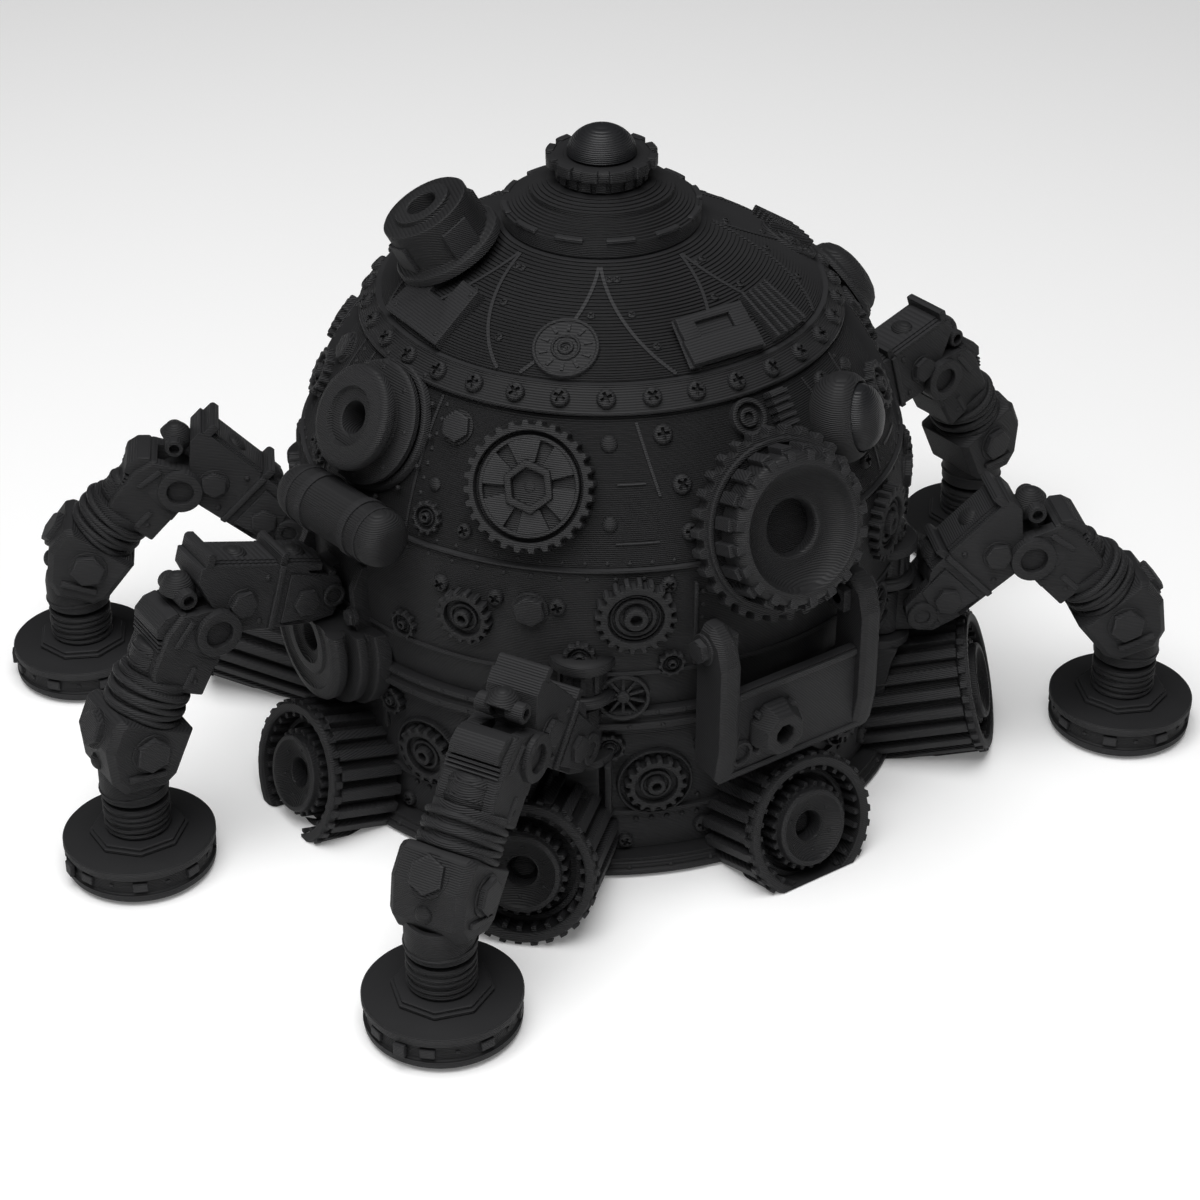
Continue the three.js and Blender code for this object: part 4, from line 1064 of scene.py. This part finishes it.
def femur(name, places):
    piece = Piece(f"{name}_thigh_case", f"{name}_thigh", CHARCOAL, f"{name}_femur")
    at = places["femur"]
    middle = "middle" in name
    end = 3.4 if middle else 4.6  # how far the cheeks reach past the hip pin, clear of the shell
    panel_start = 6.5 if middle else 14.0  # a low leg leaves room for the hip block's spool
    case = [(8.4, -10.4), (33, -12.4), (36.4, -12.2), (50, 5.2), (50, 10.6), (13, 10.6), (8.4, 6.5)]
    prism(piece, case, -9, 9, side_cut(at))
    for side in (-1, 1):
        cheek = [(-end, 0), (1 - end, -5), (-1.5, -7.6), (8, -10.4), (18, -11), (18, 9), (7, 7.5),
                 (3.2 - end, 7), (1 - end, 4.2)]
        prism(piece, cheek, -1.95, 1.95, side_cut(at, side * 7.05))
        femur_flank(piece, at, side, end)
    ribs = [(19.8, 22.4, 15.0), (46.0, 49.0, 15.4)]
    if middle:
        ribs.append((1.0, 3.6, 8.6))
    for start, finish, top in ribs:
        rib = [(start, 4), (finish, 4), (finish - 0.4, top - 0.8), (finish - 1.2, top),
               (start - 0.6, top)]
        prism(piece, rib, -8.8, 8.8, side_cut(at))
    for start, finish in ((panel_start, 19.6), (22.6, 45.8)):
        for step in range(3):
            inset = step * 1.3
            rise = 11.2 + step * 0.5
            panel = [(start, 9), (finish, 9), (finish, rise + 0.2), (start, rise)]
            prism(piece, panel, inset - 8.9, 8.9 - inset, side_cut(at), False)
        centre = at @ move((start + finish) / 2, 0, 12.0)
        ball(piece, 3.7, centre @ Matrix.Diagonal((1, 1.2, 1, 1)), 0.5)
    ball(piece, 5.8, at @ move(51.9, 0, -0.4), 1.0)
    drum(piece, 3.4, 44, 51, at @ move(0, 0, -0.4) @ FACING_X, 24)
    for side in (-1, 1):
        stub = facing_side(at, 51.9, -1.0, 4.6, side)
        lathe(piece, [(1.8, -2), (3.3, -2), (3.3, 3.2), (2.9, 3.7), (1.8, 3.7), (1.8, 1.2), (0, 1.2),
                      (0, -2)], stub, 28, closed=False)
    along, below = KNEE
    arm = [(28, -11), (28, 4), (along + 1.5, -3.8), (along + 7.2, below), (along + 4, below - 6.2),
           (along - 3, below - 6.6)]
    prism(piece, arm, -4.6, 4.6, side_cut(at))
    drum(piece, 3.0, -10.2, 10.2, facing_side(at, along, below, 0, 1), 24)
    drum(piece, 3.0, -9.6, 9.6, facing_side(at, 0, 0, 0, 1), 24)
    piece.finish()


def femur_flank(piece, at, side, end):
    """Bolts, a middle ridge and plates on one side of the femur."""
    for spot in (10.0, 33.0):
        hex_bolt(piece, 8.4, 2.4, facing_side(at, spot, -2.0, 9, side), 10)
    ridge = [(20.0, -11.4), (22.2, -11.6), (22.2, 11), (20.0, 11)]
    prism(piece, ridge, -0.7, 0.7, side_cut(at, side * 9.4))
    plate = [(2, -7.5), (17.5, -9.6), (17.5, 7.8), (6, 7.0)]
    prism(piece, plate, -0.45, 0.45, side_cut(at, side * 9.1))
    ring(piece, end + 0.6, 2.6, -0.2, 1.2, facing_side(at, 0, 0, 9, side), 28)
    rivet(piece, 1.1, facing_side(at, 25.6, -8.4, 9, side))
    rivet(piece, 1.1, facing_side(at, 25.6, 7.0, 9, side))


def tibia(name, places):
    piece = Piece(f"{name}_shin_case", f"{name}_shin", CHARCOAL, f"{name}_tibia")
    at = places["tibia"]
    core = [(9.4, -4.6), (23, -3.5), (23, 15.0), (18, 17.4), (3.4, 17.4), (-3.8, 14.4), (-4.6, 12.6),
            (0.6, 9.6), (6.2, 8.2), (9.4, 1)]
    line = [(-2.4, 8.8), (7, 11.4), (7.4, 13.6), (-2.8, 11.0)]
    facet_slab(piece, core, 10.2, 1.2, side_cut(at))
    cheek = [(7, -4.6), (12, -4.4), (12, 12), (-3.4, 14.0), (-5.4, 8.6), (-7.9, 1.6), (-6.6, -4.4),
             (-3.4, -7.2), (0.4, -8), (4.2, -7)]
    for side in (-1, 1):
        prism(piece, cheek, -2.4, 2.4, side_cut(at, side * 7.7))
        eye = facing_side(at, 0, 0, 10.1, side)
        ring(piece, 7.9, 4.6, -1.5, 2.0, eye, 40)
        drum(piece, 4.8, -1.5, 0.3, eye, 28)
        prism(piece, line, -0.5, 0.5, side_cut(at, side * 10.2))
    tibia_top(piece, at)
    tibia_coil(piece, at)
    tibia_lower(piece, at)
    sleeve(piece, places)
    piece.finish()


def tibia_top(piece, at):
    """The roof block, three joint lines and the half barrel on the outer face."""
    roof = [(-3.4, 13.8), (3.2, 16.6), (5.8, 16.6), (5.8, 19.6), (2.6, 20.6), (-1.6, 19.0),
            (-4.0, 15.6)]
    prism(piece, roof, -8.6, 8.6, side_cut(at))
    for step in range(3):
        start = 6.4 + step * 1.4
        prism(piece, [(start, 16.6), (start + 0.8, 16.6), (start + 0.8, 18.8 - step * 0.4),
                      (start, 18.8 - step * 0.4)], -9.2, 9.2, side_cut(at), False)
    barrel = at @ move(10.4, 0, 12.4) @ FACING_X
    lathe(piece, [(0, 0), (6.2, 0), (7.6, 0.6), (8.2, 2.2), (8.2, 8.2), (7.6, 9.6), (6.0, 10.6),
                  (0, 10.8)], barrel, 40, closed=False)
    ring(piece, 8.5, 7.4, 2.4, 3.4, barrel, 40)
    ring(piece, 8.5, 7.4, 7.0, 8.0, barrel, 40)
    for side in (-1, 1):
        rivet(piece, 1.0, facing_side(at, 18, 1.5, 10, side))
        plate = [(13, 2.4), (21, 3.4), (21, 5.6), (13, 4.6)]
        prism(piece, plate, -0.5, 0.5, side_cut(at, side * 10.2))


def tibia_coil(piece, at):
    """The corrugated waist between the two casings."""
    centre = at @ move(0, 0, 10.4) @ FACING_X
    drum(piece, 11.6, 20, 36, centre, 40)
    for turn_index in range(5):
        tilt = 4 if turn_index % 2 else -4
        place = centre @ move(z=24.2 + turn_index * 2.3) @ turn(tilt, "Y")
        hoop(piece, 12.1, 1.25, place, 40)


def tibia_lower(piece, at):
    """The lower casing: a chamfered block with heavy bolts and edge bars."""
    outer = [(34, -3.6), (34, 22.6), (36.2, 24.6), (46, 24.4), (57, 18), (60, 12), (55.4, -1),
             (50.6, -3.6)]
    inner = [(35, -1.6), (35, 21), (36.8, 22.4), (45.4, 22.2), (55, 16.6), (57.6, 11.6),
             (53.6, 0.6), (50, -1.6)]
    half, step = 13, 2.4
    count = len(outer)
    levels = ((-half, inner), (step - half, outer), (half - step, outer), (half, inner))
    points = [(x, y, z) for z, outline in levels for x, y in outline]
    faces = [list(range(count)), [3 * count + corner for corner in range(count)]]
    for level in range(3):
        for corner in range(count):
            after = (corner + 1) % count
            low, high = level * count, (level + 1) * count
            faces.append([low + corner, low + after, high + after, high + corner])
    piece.add(points, faces, side_cut(at))
    hex_bolt(piece, 10.6, 2.6, at @ move(42.4, 0, 24.2), 8)
    for side in (-1, 1):
        hex_bolt(piece, 10.6, 2.6, facing_side(at, 43.4, 9.6, half, side), 14)
        bar = [(50.4, 1.6), (54.6, 13.8), (52.6, 14.6), (48.4, 2.4)]
        prism(piece, bar, -0.8, 0.8, side_cut(at, side * (half + 0.3)))
        tab = [(36, 18), (38, 18), (38, 22), (36, 22)]
        prism(piece, tab, -0.7, 0.7, side_cut(at, side * (half - 1.4)))
    ball(piece, 3.0, at @ move(54, 0, 19.4) @ turn(30, "Y"), 0.7)


def sleeve(piece, places):
    """The cuff over the ankle, with a slanted lower rim."""
    at = places["plane"] @ move(places["ankle"].x)
    lathe(piece, [(9.2, 29.3), (11, 29.3), (11.2, 30.2), (11.2, 38), (10.6, 41), (9.2, 41)], at, 36)
    hoop(piece, 11.1, 0.6, at @ move(z=32.6) @ turn(7, "Y"), 36)


def foot(name, places):
    piece = Piece(f"{name}_foot_pad", f"{name}_pad", CHARCOAL, f"{name}_foot")
    at = places["plane"] @ move(places["ankle"].x)
    lathe(piece, [(0, 0), (21.8, 0), (22.6, 0.7), (23.4, 0.8), (23.6, 1.7), (24.4, 1.8), (24.6, 3.0),
                  (24.6, 4.0), (23.6, 4.4), (23.6, 9.6), (24.8, 10.0), (25, 10.6), (25, 12.4),
                  (24.4, 13.1), (0, 13.1)], at, 96, closed=False)
    for index in range(8):
        block(piece, (23, -2.4, 5.4), (24.7, 2.4, 8.8), at @ turn(index * 45 + 20, "Z"))
        rivet(piece, 0.9, at @ turn(index * 45 + 42, "Z") @ move(23.5, 0, 7) @ FACING_X)
    block(piece, (24, -2.0, 4.6), (25.9, 2.0, 9.4), at)
    prism(piece, polygon(16.2, 8, 22.5), 13.0, 14.5, at)
    prism(piece, polygon(15.2, 8, 22.5), 14.4, 15.7, at)
    lathe(piece, [(0, 15), (10.2, 15), (10.2, 27.0), (8.2, 27.4), (8.2, 31.6), (0, 31.6)], at, 40,
          closed=False)
    for step in range(5):
        tilt = 2.5 if step % 2 else -1.5
        hoop(piece, 10.1, 0.95, at @ move(z=16.9 + step * 2.3) @ turn(tilt, "Y"), 44)
    drum(piece, 2.5, -8.2, 8.2, facing_side(at, 0, ANKLE_HEIGHT, 0, 1), 20)
    piece.finish()


# ---- camera and studio -----------------------------------------------------------------------

def studio():
    camera_data = bpy.data.cameras.new("camera")
    camera_data.lens = 84.9
    camera_data.sensor_width = 36.0
    camera_data.clip_start = 0.05
    camera = bpy.data.objects.new("camera", camera_data)
    forward = Vector((0.48643, 0.69468, -0.52992))
    camera.location = (-0.4858, -0.6928, 0.5698)
    camera.rotation_euler = forward.to_track_quat("-Z", "Y").to_euler()
    scene.collection.objects.link(camera)
    scene.camera = camera

    floor_mesh = bpy.data.meshes.new("floor")
    reach = 6.0
    corners = [(-reach, -reach, 0), (reach, -reach, 0), (reach, reach, 0), (-reach, reach, 0)]
    floor_mesh.from_pydata(corners, [], [(0, 1, 2, 3)])
    floor = bpy.data.objects.new("floor", floor_mesh)
    floor.location.z = -0.0004
    scene.collection.objects.link(floor)
    paper = bpy.data.materials.new("paper")
    paper.use_nodes = True
    shader = paper.node_tree.nodes["Principled BSDF"]
    shader.inputs["Base Color"].default_value = (0.93, 0.93, 0.93, 1)
    shader.inputs["Roughness"].default_value = 0.9
    shader.inputs["Specular IOR Level"].default_value = 0.1
    shader.inputs["Emission Color"].default_value = (1, 1, 1, 1)
    shader.inputs["Emission Strength"].default_value = 0.12
    floor.data.materials.append(paper)

    world = bpy.data.worlds.new("studio")
    world.use_nodes = True
    nodes = world.node_tree.nodes
    links = world.node_tree.links
    direction = nodes.new("ShaderNodeTexCoord")
    height = nodes.new("ShaderNodeSeparateXYZ")
    links.new(direction.outputs["Generated"], height.inputs["Vector"])
    brighter = nodes.new("ShaderNodeMapRange")
    brighter.inputs["From Min"].default_value = 0.0
    brighter.inputs["From Max"].default_value = 0.9
    brighter.inputs["To Min"].default_value = 0.08
    brighter.inputs["To Max"].default_value = 1.5
    links.new(height.outputs["Z"], brighter.inputs["Value"])
    links.new(brighter.outputs["Result"], nodes["Background"].inputs["Strength"])
    scene.world = world
    soft_light("key", (-0.35, -0.25, 1.5), 1.3, 28.0)
    soft_light("fill", (-1.2, -1.1, 0.9), 1.2, 3.0)
    scene.view_settings.view_transform = "Standard"


def soft_light(name, place, size, power):
    data = bpy.data.lights.new(name, "AREA")
    data.shape = "SQUARE"
    data.size = size
    data.energy = power
    light = bpy.data.objects.new(name, data)
    light.location = place
    light.rotation_euler = (Vector((0, 0, 0.08)) - Vector(place)).to_track_quat("-Z", "Y").to_euler()
    scene.collection.objects.link(light)


# ---- assembly --------------------------------------------------------------------------------

studio()
belly_plate()
lower_hull()
gear_deck()
dome_shell()
screw_band()
dome_cap()
top_collar()
cupola()
fan()
upper_port()
side_tank()
headlamp()
sensor_dome()
nozzle()
front_hatch()
hip_boss("middle_left", 2.5)
hip_boss("middle_right", 177.5)
drive_wheel()
scoop()
for drum_index in range(8):
    hub(drum_index)
for leg_name in LEG_NAMES:
    leg = leg_places(leg_name)
    coxa(leg_name, leg)
    femur(leg_name, leg)
    tibia(leg_name, leg)
    foot(leg_name, leg)

INNER = {"battery_pack": CELL_BLUE, "control_board": BOARD_GREEN, "servo_frame": GRAPHITE}
for node, material in INNER.items():
    inner = frame["nodes"][node]
    for index in range(len(inner.material_slots)):
        inner.material_slots[index].material = material
